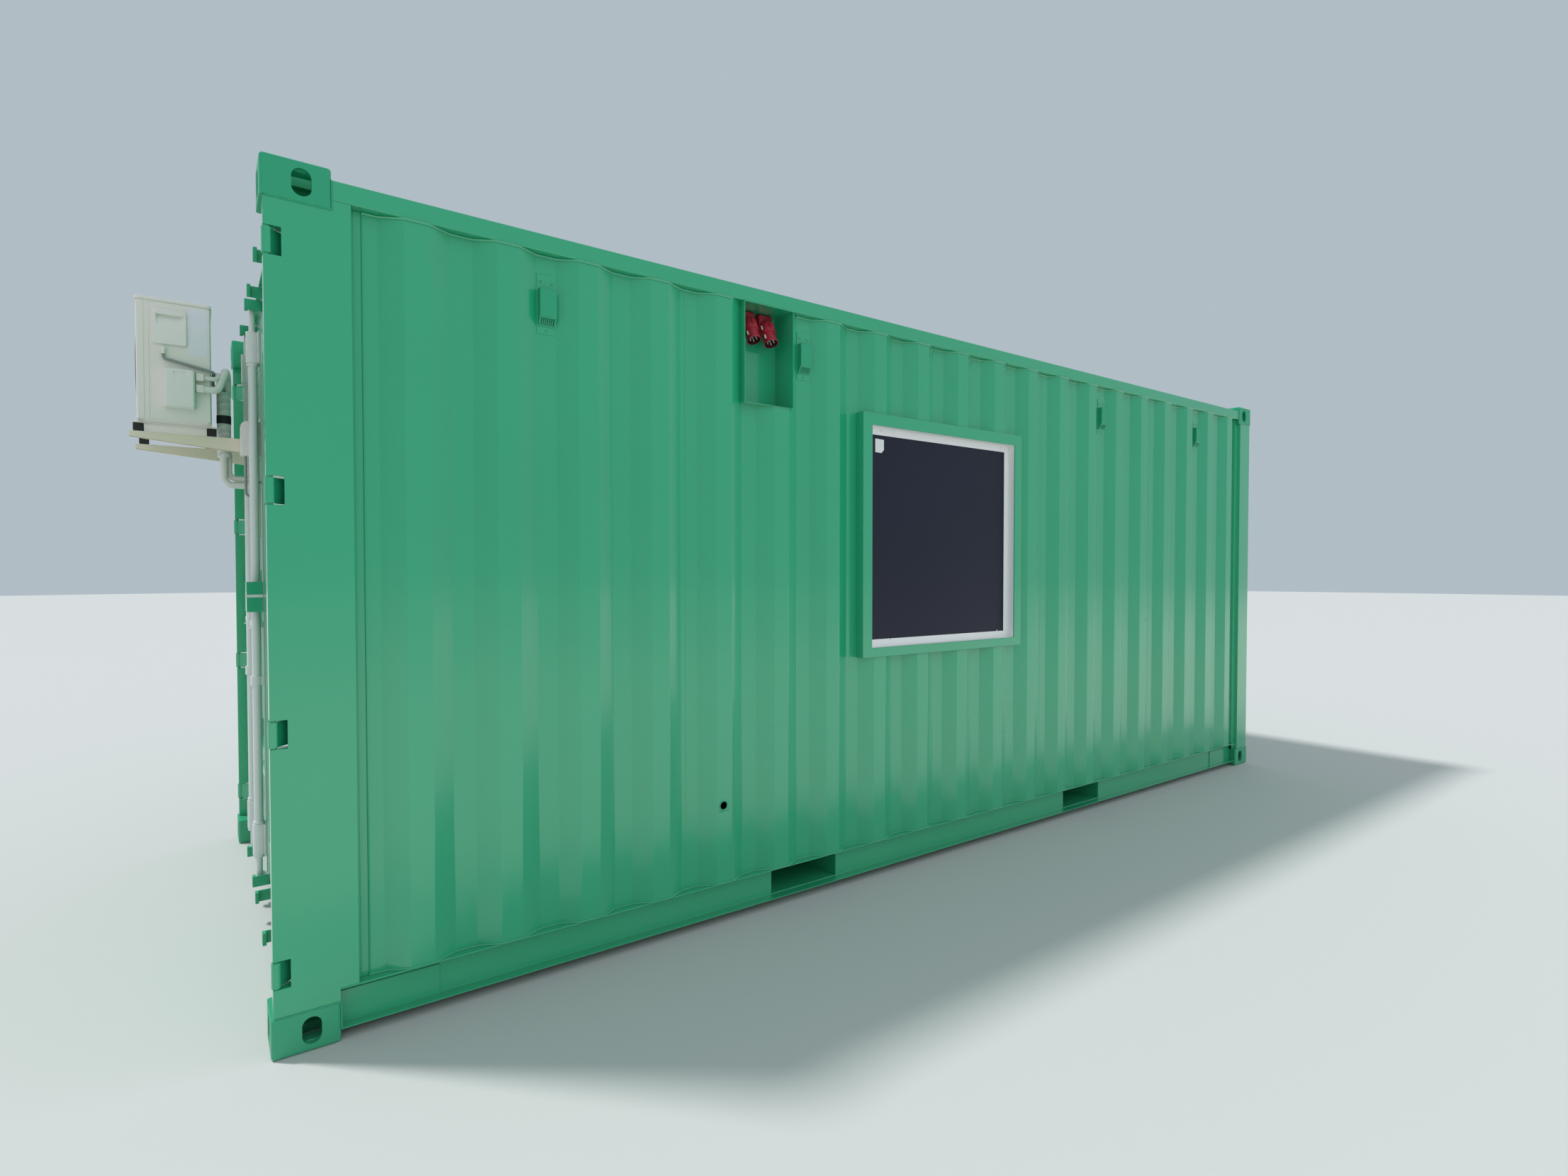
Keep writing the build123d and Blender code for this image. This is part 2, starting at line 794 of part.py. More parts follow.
def cross_members():
    """Pressed channels across the underframe, in three bays between the ends and the fork pockets."""
    reach = width / 2 - skin_setback - bottom_rail_flange
    door_pocket = fork_pocket_middle - fork_pocket_spacing / 2
    rear_pocket = fork_pocket_middle + fork_pocket_spacing / 2
    half = fork_pocket_width / 2 + fork_pocket_plate
    door_bay = (door_end + end_frame_face + sill_depth, door_pocket - half)
    middle_bay = (door_pocket + half, rear_pocket - half)
    rear_bay = (rear_pocket + half, rear_end - rear_rail_setback - top_rail_size)
    foot = floor_level - cross_member_height
    members = []
    for start, stop in (door_bay, middle_bay, rear_bay):
        step = (stop - start) / (cross_members_per_bay + 1)
        for n in range(1, cross_members_per_bay + 1):
            x = start + n * step
            section = folded_outline([
                (x + cross_member_top_flange, floor_level), (x, floor_level), (x, foot),
                (x + cross_member_bottom_flange, foot)], cross_member_plate)
            members.append(across(section, -reach, reach))
    return members


def fork_pockets():
    """Two tunnels across the underframe for a lift truck's forks, strapped underneath at both ends."""
    reach = width / 2 - skin_setback - bottom_rail_flange
    low = underframe_bottom + fork_pocket_strap
    pockets = []
    for side in (-1, 1):
        middle = fork_pocket_middle + side * fork_pocket_spacing / 2
        outer = fork_pocket_width / 2 + fork_pocket_plate
        section = folded_outline([
            (middle - outer, low), (middle - outer, floor_level), (middle + outer, floor_level),
            (middle + outer, low)], -fork_pocket_plate)
        tunnel = across(section, -reach, reach)
        for end in (-1, 1):
            tunnel += block((middle - outer, middle + outer),
                            (end * reach, end * (reach - fork_pocket_strap_length)),
                            (underframe_bottom, low))
        pockets.append(tunnel)
    return pockets


def door_frame(side):
    """Welded frame of a door leaf, from hollow stiles and rails. side is -1 for the right door."""
    xs = (door_outer_face, door_back_face)
    free, hinge = side * door_free_edge, side * door_hinge_edge
    wall = door_frame_plate
    ring = block(xs, (free, hinge), (door_bottom, door_top))
    ring -= block(xs, (free + side * door_stile, hinge - side * door_stile),
                  (door_bottom + door_rail, door_top - door_rail))
    inside = (door_outer_face + wall, door_back_face - wall)
    for low, high in ((door_bottom, door_bottom + door_rail), (door_top - door_rail, door_top)):
        ring -= block(inside, (free + side * wall, hinge - side * wall), (low + wall, high - wall))
    for edge, inner in ((free, free + side * door_stile), (hinge, hinge - side * door_stile)):
        ring -= block(inside, (min(edge, inner) + wall, max(edge, inner) - wall),
                      (door_bottom + door_rail, door_top - door_rail))
    return ring


def door_panel(side):
    """Door sheet with wide level corrugations, lapped behind the frame's outer wall."""
    low = door_bottom + door_rail
    high = door_top - door_rail
    half = door_rib_flat / 2
    points = [(door_panel_face, low)]
    for n in range(door_rib_count):
        middle = low + (n + 0.5) * door_rib_pitch
        points += [(door_panel_face, middle - half - door_rib_slope), (door_recess_face, middle - half),
                   (door_recess_face, middle + half), (door_panel_face, middle + half + door_rib_slope)]
    points.append((door_panel_face, high))
    edges = sorted((side * (door_free_edge + door_stile), side * (door_hinge_edge - door_stile)))
    return across(folded_outline(points, -wall_sheet), *edges)


def door_seal(side):
    """Rubber seal round a leaf's edges. The left leaf's seal also closes the gap between the doors."""
    xs = (door_outer_face + seal_front, door_outer_face + seal_front + seal_depth)
    free, hinge = side * door_free_edge, side * (door_hinge_edge + seal_thickness)
    ring = block(xs, (free, hinge), (door_bottom - seal_thickness, door_top + seal_thickness))
    ring -= block(xs, (free, side * door_hinge_edge), (door_bottom, door_top))
    if side > 0:
        ring += block((door_outer_face + seal_centre_front, xs[1]), (free, 0),
                      (door_bottom - seal_thickness, door_top + seal_thickness))
    return ring


def hinge_blades():
    """Cranked blades of the right door: a knuckle on the pin and a strap on the leaf."""
    half = hinge_blade_thickness / 2
    edge = -door_hinge_edge
    line = Polyline((hinge_axis_x, -hinge_axis_y), (door_outer_face - half, edge),
                    (door_outer_face - half, edge + hinge_blade_reach))
    crank = make_face(offset(line, amount=half, side=Side.BOTH, kind=Kind.INTERSECTION))
    centre = Pos(hinge_axis_x, -hinge_axis_y)
    outline = centre * Circle(hinge_knuckle_radius) + crank
    outline -= centre * Circle(hinge_pin_radius + hinge_pin_clearance)
    half_height = hinge_knuckle_height / 2
    return [standing(outline, level - half_height, level + half_height) for level in hinge_levels]


def lock_rod(across_at):
    """Lock rod with collars, necks, the eared hub of its handle, and cams that point to the free edge."""
    axis = Pos(rod_axis_x, across_at)
    high_end = high_sleeve + sleeve_length
    foot = low_sleeve - collar_gap - rod_collar_height
    rod = axis * standing(Circle(rod_radius), foot, high_end + collar_gap)
    for z in (foot, low_sleeve + sleeve_length + collar_gap, high_sleeve - collar_gap - rod_collar_height):
        rod += axis * standing(Circle(rod_collar_radius), z, z + rod_collar_height)
    rod += axis * standing(Circle(rod_neck_radius), keeper_low_level, low_sleeve)
    rod += axis * standing(Circle(rod_neck_radius), high_end, keeper_high_level)
    half = cam_width / 2
    cam = make_face(Polyline(
        (rod_axis_x - half, across_at), (rod_axis_x - half, across_at - cam_shoulder),
        (rod_axis_x, across_at - cam_reach), (rod_axis_x + half, across_at - cam_shoulder),
        (rod_axis_x + half, across_at), close=True))
    for level in (keeper_low_level, keeper_high_level):
        rod += standing(cam + axis * Circle(rod_neck_radius), level - cam_height / 2, level + cam_height / 2)
    inner = handle_thickness / 2 + hub_ear_gap
    hub_zs = (hub_level - hub_height / 2, hub_level + hub_height / 2)
    for side in (-1, 1):
        rod += block((rod_axis_x + side * inner, rod_axis_x + side * (inner + hub_ear)),
                     (across_at, across_at + hub_reach), hub_zs)
    outer = inner + hub_ear
    pivot_y = across_at + handle_pivot
    return rod + round_bar(handle_pin_radius, (rod_axis_x - outer, pivot_y, hub_level),
                           (rod_axis_x + outer, pivot_y, hub_level))


def handle(across_at):
    """Flat handle that pivots between the ears of its rod's hub, laid level away from the free edge."""
    root = across_at + handle_pivot
    middle = Plane(origin=(rod_axis_x - handle_thickness / 2, root + handle_length / 2, hub_level),
                   x_dir=(0, 1, 0), z_dir=(1, 0, 0))
    bar = extrude(middle * SlotCenterToCenter(handle_length, handle_height), amount=handle_thickness)
    return bar - round_bar(handle_pin_radius + handle_pin_clearance,
                           (rod_axis_x - handle_height, root, hub_level),
                           (rod_axis_x + handle_height, root, hub_level))


def rod_sleeves():
    """Bearing sleeves of the lock rods at both ends, and a guide lower down, on the left door."""
    sleeves = []
    for across_at in (rod_inner, rod_outer):
        axis = Pos(rod_axis_x, across_at)
        ring = axis * Circle(sleeve_radius)
        bore = axis * Circle(rod_radius + rod_running_clearance)

        def bracket(seat, foot_width, low, tall):
            foot_front = door_outer_face - sleeve_foot_plate
            foot = Pos((foot_front + seat) / 2, across_at) * Rectangle(seat - foot_front, foot_width)
            beyond = Pos(seat + sleeve_radius, across_at) * Rectangle(2 * sleeve_radius, 2 * foot_width)
            return standing(ring + foot - beyond - bore, low, low + tall)

        guide_low = guide_level - guide_length / 2
        sleeves.append(bracket(door_outer_face, sleeve_foot_width, low_sleeve, sleeve_length))
        sleeves.append(bracket(door_outer_face, sleeve_foot_width, high_sleeve, sleeve_length))
        sleeves.append(bracket(door_panel_face, guide_foot_width, guide_low, guide_length))
    return sleeves


def handle_rests():
    """Angle brackets on the left door that a handle lies over when it is shut."""
    rests = []
    shelf_top = hub_level - handle_height / 2 - handle_rest_gap
    for across_at in (rod_inner, rod_outer):
        middle = across_at + handle_pivot + handle_length - handle_rest_from_tip
        ys = (middle - handle_rest_width / 2, middle + handle_rest_width / 2)
        shelf = block((door_panel_face, door_panel_face - handle_rest_reach), ys,
                      (shelf_top - handle_rest_plate, shelf_top))
        leg = block((door_panel_face, door_panel_face - handle_rest_plate), ys,
                    (shelf_top - handle_rest_leg, shelf_top))
        rests.append(shelf + leg)
    return rests


def keeper(across_at, toward, level):
    """Welded hook on the sill or header that holds a cam, which points to the side called toward."""
    face = door_end + end_frame_face
    lip = face - keeper_projection
    lip_back = rod_axis_x - cam_width / 2 - keeper_lip_gap
    web = across_at + toward * (cam_reach + keeper_side_gap)
    web_far = web + toward * keeper_plate
    lip_tip = across_at + toward * keeper_lip_overlap
    outline = make_face(Polyline((face, web), (face, web_far), (lip, web_far), (lip, lip_tip),
                                 (lip_back, lip_tip), (lip_back, web), close=True))
    return standing(outline, level - keeper_height / 2, level + keeper_height / 2)


def keepers():
    """Keepers for four lock rods, of which the right door's two are missing."""
    return [keeper(side * place, -side, level) for side in (1, -1) for place in (rod_inner, rod_outer)
            for level in (keeper_low_level, keeper_high_level)]


def lock_box():
    """Welded box over both lock rods, open to the door behind it."""
    front = door_end + lock_box_front
    near, far = lock_box_near, lock_box_near + lock_box_width
    top = lock_box_bottom + lock_box_height
    plate = lock_box_plate
    box = block((front, door_outer_face), (near, far), (lock_box_bottom, top))
    return box - block((front + plate, door_outer_face), (near + plate, far - plate),
                       (lock_box_bottom + plate, top - plate))


def lock_bar():
    """Flat bar across the near side of the lock box."""
    return block((door_end + lock_bar_front, door_outer_face),
                 (lock_box_near, lock_box_near - lock_bar_thickness),
                 (lock_bar_level, lock_bar_level + lock_bar_height))


def window_ring(face, depth, inset):
    """Ring round the window opening: the frame's outline less the opening, both drawn in by inset."""
    left = door_end + window_left + inset
    right = door_end + window_left + window_width - inset
    low = window_bottom + inset
    high = window_bottom + window_height - inset
    ys = (face, face + depth)
    ring = block((left, right), ys, (low, high))
    return ring - block((door_end + window_left + window_side_face - inset,
                         door_end + window_left + window_width - window_side_face + inset), ys,
                        (window_bottom + window_bottom_face - inset,
                         window_bottom + window_height - window_top_face + inset))


def window_opening(face, depth, inset):
    """The window's opening as a block, drawn in by inset."""
    left = door_end + window_left + window_side_face + inset
    right = door_end + window_left + window_width - window_side_face - inset
    low = window_bottom + window_bottom_face + inset
    high = window_bottom + window_height - window_top_face - inset
    return block((left, right), (face, face + depth), (low, high))


def window_frame():
    """Pressed steel frame round the window: a channel ring, open to the inside of the cabin."""
    plate = window_frame_plate
    return window_ring(window_face, window_frame_depth, 0) - window_ring(
        window_face + plate, window_frame_depth - plate, plate)


def window_trim():
    """White angle strips round the pane: one leg lines the opening, the other lies on the pane's edge."""
    leg_front = window_face + window_trim_front
    leg_depth = window_pane_face - leg_front
    thin = window_trim_thickness
    trim = window_opening(leg_front, leg_depth, 0) - window_opening(leg_front, leg_depth - thin, thin)
    return trim - window_opening(leg_front, leg_depth, window_trim_width)


def window_pane():
    """Dark board in the window frame."""
    return window_opening(window_pane_face, window_pane_thickness, 0)


def inlet_recess():
    """Sheet steel recess under the top rail, open to the front."""
    left = door_end + recess_left
    right = left + recess_width
    front = front_skin - recess_proud
    back = front_skin + recess_depth
    plate = recess_plate
    box = block((left, right), (front, back), (recess_bottom, top_rail_bottom))
    return box - block((left + plate, right - plate), (front, back - plate),
                       (recess_bottom + plate, top_rail_bottom - plate))


def power_inlets():
    """Two five-pin power inlets on the back of the recess, their cups facing down and forwards."""
    inlets = []
    back = front_skin + recess_depth - recess_plate
    for place in inlet_places:
        x = door_end + place
        base = block((x - inlet_base_width / 2, x + inlet_base_width / 2), (back, back - inlet_base_depth),
                     (inlet_level - inlet_base_height / 2, inlet_level + inlet_base_height / 2))
        base = fillet(base.edges().filter_by(Axis.Y), inlet_wall)
        aim = Plane(origin=(x, back - inlet_base_depth, inlet_level), x_dir=(1, 0, 0), z_dir=(0, 0, -1))
        aim = aim * Rot(-inlet_tilt, 0, 0)
        cup = extrude(Circle(inlet_radius), amount=inlet_length)
        mouth = extrude(Circle(inlet_radius - inlet_wall), amount=inlet_cup)
        cup -= Pos(0, 0, inlet_length - inlet_cup) * mouth
        for place in PolarLocations(inlet_pin_circle_radius, inlet_pins):
            pin = extrude(Circle(inlet_pin_radius), amount=inlet_cup - inlet_wall)
            cup += place * Pos(0, 0, inlet_length - inlet_cup) * pin
        body = Location(aim) * cup
        behind = block((x - inlet_base_width, x + inlet_base_width), (back, 0), (recess_bottom, height))
        inlets.append(base + (body - behind))
    return inlets


def vent(flats_from_middle):
    """Folded sheet vent on an inner flat of the front wall, sloped at its foot where it breathes."""
    x = wall_centre + flats_from_middle * wall_pitch
    wall = front_skin + wall_depth
    plate = block((x - vent_width / 2, x + vent_width / 2), (wall, wall - vent_plate),
                  (vent_bottom, vent_bottom + vent_height))
    stand = wall - vent_stand
    head = vent_bottom + vent_body_head
    profile = make_face(Polyline((wall, vent_bottom + vent_body_foot), (wall, head), (stand, head),
                                 (stand, vent_bottom + vent_body_knee), close=True))
    return plate + lengthways(profile, x - vent_body_width / 2, x + vent_body_width / 2)


def vents():
    """Vents spaced evenly about the middle of both long walls, with none at the middle."""
    pieces = []
    for n in range(1, vents_each_way + 1):
        pieces += [vent(n * vent_spacing_in_flats), vent(-n * vent_spacing_in_flats)]
    return [each for piece in pieces for each in both_sides(piece)]


def cooler_case():
    """Casing of the outdoor unit with its lid, fan opening, runners and valves."""
    middle_x = (cooler_back + cooler_front) / 2
    middle_y = (cooler_near_side + cooler_far_side) / 2
    body = Pos(middle_x, middle_y, cooler_bottom + cooler_height / 2) * Box(
        cooler_depth, cooler_width, cooler_height)
    body = fillet(body.edges().filter_by(Axis.Z), cooler_corner)
    lid_out = 2 * cooler_lid_overhang
    lid = Pos(middle_x, middle_y, cooler_bottom + cooler_height - cooler_lid / 2) * Box(
        cooler_depth + lid_out, cooler_width + lid_out, cooler_lid)
    body += fillet(lid.edges().filter_by(Axis.Z), cooler_corner + cooler_lid_overhang)
    body -= round_bar(cooler_fan_opening, (cooler_front, cooler_fan_y, cooler_fan_z),
                      (cooler_front + cooler_fan_recess, cooler_fan_y, cooler_fan_z))
    for y in arm_places():
        body += block((cooler_front - cooler_runner_overhang, cooler_back + cooler_runner_overhang),
                      (y - cooler_runner_width / 2, y + cooler_runner_width / 2),
                      (cooler_bottom - cooler_runner, cooler_bottom))
    for rise in (large_valve_rise, small_valve_rise):
        level = cooler_bottom + rise
        body += block((valve_end - valve_length, valve_end),
                      (cooler_near_side, cooler_near_side - valve_width),
                      (level - valve_width / 2, level + valve_width / 2))
    return body


def cooler_fan():
    """Fan seen through the guard: a hub with pitched blades."""
    hub = round_bar(fan_hub_radius, (cooler_front + guard_thickness, cooler_fan_y, cooler_fan_z),
                    (cooler_front + cooler_fan_recess, cooler_fan_y, cooler_fan_z))
    depth = cooler_front + guard_thickness + fan_depth / 2
    blade = Pos(0, (fan_radius + fan_hub_radius) / 2, 0) * Rot(0, 30, 0) * Box(
        fan_blade_thickness, fan_radius - fan_hub_radius + fan_blade_thickness * 3, fan_depth * 2)
    blades_from = cooler_front + guard_thickness + fan_blade_thickness
    keep = round_bar(fan_radius, (blades_from, cooler_fan_y, cooler_fan_z),
                     (cooler_front + guard_thickness + fan_depth, cooler_fan_y, cooler_fan_z))
    for n in range(fan_blades):
        turned = Pos(depth, cooler_fan_y, cooler_fan_z) * Rot(360 / fan_blades * n, 0, 0) * blade
        hub += turned & keep
    return hub


def fan_guard():
    """Round grille over the fan opening: rings on flat spokes."""
    front = cooler_front - guard_thickness
    centre = Plane(origin=(front, cooler_fan_y, cooler_fan_z), x_dir=(0, 1, 0), z_dir=(1, 0, 0))
    face = Circle(cooler_fan_opening + guard_rim_width) - Circle(cooler_fan_opening)
    face += Circle(guard_hub_radius)
    span = cooler_fan_opening - guard_hub_radius
    for n in range(1, guard_rings + 1):
        radius = guard_hub_radius + n * span / (guard_rings + 1)
        face += Circle(radius + guard_ring_width / 2) - Circle(radius - guard_ring_width / 2)
    for spoke in PolarLocations(guard_hub_radius + span / 2, guard_spokes):
        face += spoke * Rectangle(span + guard_spoke_width, guard_spoke_width)
    return extrude(centre * face, amount=guard_thickness)


def cooler_cover(back, wide, bottom, tall, stand):
    """Rounded cover on the near side of the outdoor unit, given from its back edge and bottom."""
    right = cooler_back - back
    cover = block((right - wide, right), (cooler_near_side, cooler_near_side - stand),
                  (cooler_bottom + bottom, cooler_bottom + bottom + tall))
    return fillet(cover.edges().filter_by(Axis.Y), cover_corner)


def cooler_covers():
    """Cover of the electrical box and cover of the valves."""
    upper = cooler_cover(upper_cover_back, upper_cover_width, upper_cover_bottom, upper_cover_height,
                         upper_cover_stand)
    lower = cooler_cover(lower_cover_back, lower_cover_width, lower_cover_bottom, lower_cover_height,
                         lower_cover_stand)
    return [upper, lower]


def arm_places():
    """Places of the two arms along Y."""
    return (arm_near, arm_near + arm_spacing)


def cooler_feet():
    """Rubber feet between the arms and the runners."""
    feet = []
    for y in arm_places():
        for x in (cooler_front, cooler_back):
            feet.append(Pos(x, y, arm_top + cooler_foot_height / 2)
                        * Box(cooler_foot_size, arm_width, cooler_foot_height))
    return feet


def cooler_arms():
    """Two folded arms with legs on the left door's panel."""
    root = door_panel_face
    tip = door_end - arm_reach
    arms = []
    for y in arm_places():
        ys = (y - arm_width / 2, y + arm_width / 2)
        side = make_face(Polyline((root, arm_top), (tip, arm_top), (tip, arm_top - arm_tip_height),
                                  (root, arm_top - arm_root_height), close=True))
        arm = across(side, *ys)
        arm -= block((root - arm_leg_plate, tip + arm_plate), (ys[0] + arm_plate, ys[1] - arm_plate),
                     (arm_top - arm_plate, arm_top - arm_root_height))
        arm += block((root, root - arm_leg_plate), ys, (arm_top, arm_top - arm_leg_height))
        arms.append(arm)
    return arms


def lagged_pipe(radius, bend, rise, arch, shift):
    """Pipe from its valve, straight back, up and across, then down into the bundle's top."""
    level = cooler_bottom + rise
    crown = level + arch
    x = bundle_x + shift
    return bent_pipe(radius, [
        (valve_end, valve_middle, level), (valve_end + pipe_straight, valve_middle, level),
        (x + pipe_turn_shift, valve_middle + pipe_turn_across, crown), (x, bundle_across, crown),
        (x, bundle_across, bundle_top - pipe_lap)], bend)


def hose(radius, bend, drop, shift):
    """Pipe out of the bundle's foot, down and round into the left door."""
    x = bundle_x + shift
    y = bundle_across + shift
    level = bundle_bottom - drop
    return bent_pipe(radius, [(x, y, bundle_bottom + pipe_lap), (x, y, level),
                              (door_panel_face, y, level)], bend)


def cooler_pipes():
    """Two lagged pipes, the wrapped bundle they share, and the two pipes that leave it for the door."""
    bundle = round_bar(bundle_radius, (bundle_x, bundle_across, bundle_bottom),
                       (bundle_x, bundle_across, bundle_top))
    bundle += lagged_pipe(large_pipe_radius, large_pipe_bend, large_valve_rise, large_pipe_arch,
                          large_pipe_shift)
    bundle += lagged_pipe(small_pipe_radius, small_pipe_bend, small_valve_rise, small_pipe_arch,
                          small_pipe_shift)
    bundle += hose(large_hose_radius, large_hose_bend, large_hose_drop, large_hose_shift)
    return bundle + hose(small_hose_radius, small_hose_bend, small_hose_drop, small_hose_shift)


def supply_cable():
    """Cable from the outdoor unit's near side, round behind the pipes to the bundle's top."""
    start_x = cooler_back - supply_cable_back
    start_z = cooler_bottom + supply_cable_start
    out_y = cooler_near_side - supply_cable_stand
    pass_x = cooler_back + supply_cable_behind
    pass_z = cooler_bottom + supply_cable_pass
    turn_y = cooler_near_side + supply_cable_turn
    low = bundle_top + supply_cable_over_bundle
    end_y = bundle_across - supply_cable_over_bundle
    return bent_pipe(supply_cable_radius, [
        (start_x, cooler_near_side, start_z), (start_x, out_y, start_z), (pass_x, out_y, pass_z),
        (pass_x, turn_y, pass_z), (pass_x, end_y, low), (bundle_x, end_y, low),
        (bundle_x, end_y, bundle_top)], supply_cable_bend)


def pipe_cowl():
    """Rounded cowl on the left door, with the sleeve that carries it in the panel's recess."""
    front = door_end - cowl_front
    far = cowl_near_side + cowl_width
    middle = (cowl_near_side + far) / 2
    body = block((front, door_panel_face), (cowl_near_side, far), (cowl_bottom, cowl_bottom + cowl_height))
    top_edge = body.edges().filter_by(Axis.Y).group_by(Axis.Z)[-1].sort_by(Axis.X)[0]
    body = fillet(top_edge, cowl_round)
    return body + round_bar(cowl_sleeve_radius, (door_panel_face, middle, cowl_sleeve_level),
                            (door_recess_face, middle, cowl_sleeve_level))


def cowl_cable():
    """Cable that loops down from the cowl and back to the door."""
    middle = cowl_near_side + cowl_width / 2
    down = door_end + cowl_cable_out
    up = down + cowl_cable_loop
    low = cowl_bottom - cowl_cable_drop
    return bent_pipe(cowl_cable_radius, [
        (down, middle, cowl_bottom), (down, middle, low), (up, middle, low),
        (up, middle, low + cowl_cable_rise), (door_panel_face, middle, low + cowl_cable_rise)],
        cowl_cable_bend)


def build_nodes():
    """Every named piece."""
    nodes = {
        "bottom_corner_fittings": corner_fittings(False),
        "top_corner_fittings": corner_fittings(True),
        "door_post_right": door_post(),
        "rear_posts": both_sides(rear_post()),
        "door_sill": door_sill(),
        "door_header": door_header(),
        "top_rails": both_sides(top_side_rail()),
        "bottom_rail_front": bottom_side_rail(),
        "rear_rails": [rear_rail(top_rail_bottom, top_rail_top),
                       rear_rail(bottom_rail_top - rear_bottom_rail_height, bottom_rail_top)],
        "front_wall": front_wall(),
        "back_wall": back_wall(),
        "rear_wall": rear_wall(),
        "roof": roof(),
        "roof_end_plates": roof_end_plates(),
        "floor": floor(),
        "cross_members": cross_members(),
        "fork_pockets": fork_pockets(),
        "window_frame": window_frame(),
        "window_trim": window_trim(),
        "window_pane": window_pane(),
        "inlet_recess": inlet_recess(),
        "power_inlets": power_inlets(),
        "vents": vents(),
        "keepers": keepers(),
        "rod_sleeves": rod_sleeves(),
        "handle_rests": handle_rests(),
        "lock_box": lock_box(),
        "lock_bar": lock_bar(),
        "inner_lock_rod": lock_rod(rod_inner),
        "outer_lock_rod": lock_rod(rod_outer),
        "inner_handle": handle(rod_inner),
        "outer_handle": handle(rod_outer),
        "right_door_frame": door_frame(-1),
        "right_door_panel": door_panel(-1),
        "right_door_seal": door_seal(-1),
        "right_door_hinges": hinge_blades(),
        "left_door_frame": door_frame(1),
        "left_door_panel": door_panel(1),
        "left_door_seal": door_seal(1),
        "left_door_hinges": [mirrored(blade) for blade in hinge_blades()],
        "cooler_case": cooler_case(),
        "cooler_fan": cooler_fan(),
        "cooler_fan_guard": fan_guard(),
        "cooler_covers": cooler_covers(),
        "cooler_feet": cooler_feet(),
        "cooler_arms": cooler_arms(),
        "cooler_pipes": cooler_pipes(),
        "supply_cable": supply_cable(),
        "pipe_cowl": pipe_cowl(),
        "cowl_cable": cowl_cable(),
    }
    nodes["door_post_left"] = mirrored(nodes["door_post_right"])
    nodes["bottom_rail_back"] = mirrored(nodes["bottom_rail_front"])
    return nodes


os.makedirs("parts", exist_ok=True)
for node, shape in build_nodes().items():
    solids = shape if isinstance(shape, list) else [shape]
    export_step(Compound(children=[s for one in solids for s in one.solids()]), f"parts/{node}.step")
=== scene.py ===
import math

import bmesh
import bpy
import numpy as np
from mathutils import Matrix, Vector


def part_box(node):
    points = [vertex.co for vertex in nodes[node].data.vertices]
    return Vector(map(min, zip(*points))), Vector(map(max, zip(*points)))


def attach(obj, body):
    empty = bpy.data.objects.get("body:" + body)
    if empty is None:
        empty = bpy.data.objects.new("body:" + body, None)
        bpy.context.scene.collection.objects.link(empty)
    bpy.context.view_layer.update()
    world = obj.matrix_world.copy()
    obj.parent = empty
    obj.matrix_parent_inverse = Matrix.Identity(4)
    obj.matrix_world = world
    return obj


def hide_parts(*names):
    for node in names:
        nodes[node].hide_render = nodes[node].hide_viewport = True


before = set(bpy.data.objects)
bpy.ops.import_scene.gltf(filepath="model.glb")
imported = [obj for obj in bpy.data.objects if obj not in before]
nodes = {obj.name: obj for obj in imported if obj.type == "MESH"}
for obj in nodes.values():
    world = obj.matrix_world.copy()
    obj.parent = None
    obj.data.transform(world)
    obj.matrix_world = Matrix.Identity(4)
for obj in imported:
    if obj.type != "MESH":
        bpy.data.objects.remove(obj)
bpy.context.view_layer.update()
door_end = -3.029
rear_end = 3.029


# The camera stands at eye height off the door end's near corner and looks along the window side with a wide
# lens, so that the near post is tall and the rear end small.
eye = bpy.data.objects.new("camera", bpy.data.cameras.new("camera"))
eye.data.sensor_width = 36.0
eye.data.lens = 18.265
eye.data.clip_end = 200.0
eye.location = (-3.1787, -3.9024, 1.4115)
eye.rotation_euler = (math.radians(90.0 - 1.222), 0.0, math.radians(-36.335))
bpy.context.scene.collection.objects.link(eye)
bpy.context.scene.camera = eye
bpy.context.scene.view_settings.view_transform = "Standard"


# The studio: one pale floor, a pale sky that lights everything softly, and a sun from behind the door end, so
# that the window side stands in its own short shadow. Low down it mirrors a strip of floor that glows white
# for reflections only: a painted reflection.
def shader(name):
    """New node material: the material, its nodes, its links and its Principled shader."""
    material = bpy.data.materials.new(name)
    material.use_nodes = True
    tree = material.node_tree
    return material, tree.nodes, tree.links, tree.nodes["Principled BSDF"]


def linear(red, green, blue):
    """Colour of a screen value, 0 to 255 each, as the shader wants it: ((c + 0.055) / 1.055) to the power 2.4."""
    return tuple(((c / 255.0 + 0.055) / 1.055) ** 2.4 for c in (red, green, blue)) + (1.0,)


def product(tree, links, first, second):
    """Output of a Math node that multiplies two others."""
    step = tree.new("ShaderNodeMath")
    step.operation = "MULTIPLY"
    links.new(first, step.inputs[0])
    links.new(second, step.inputs[1])
    return step.outputs[0]


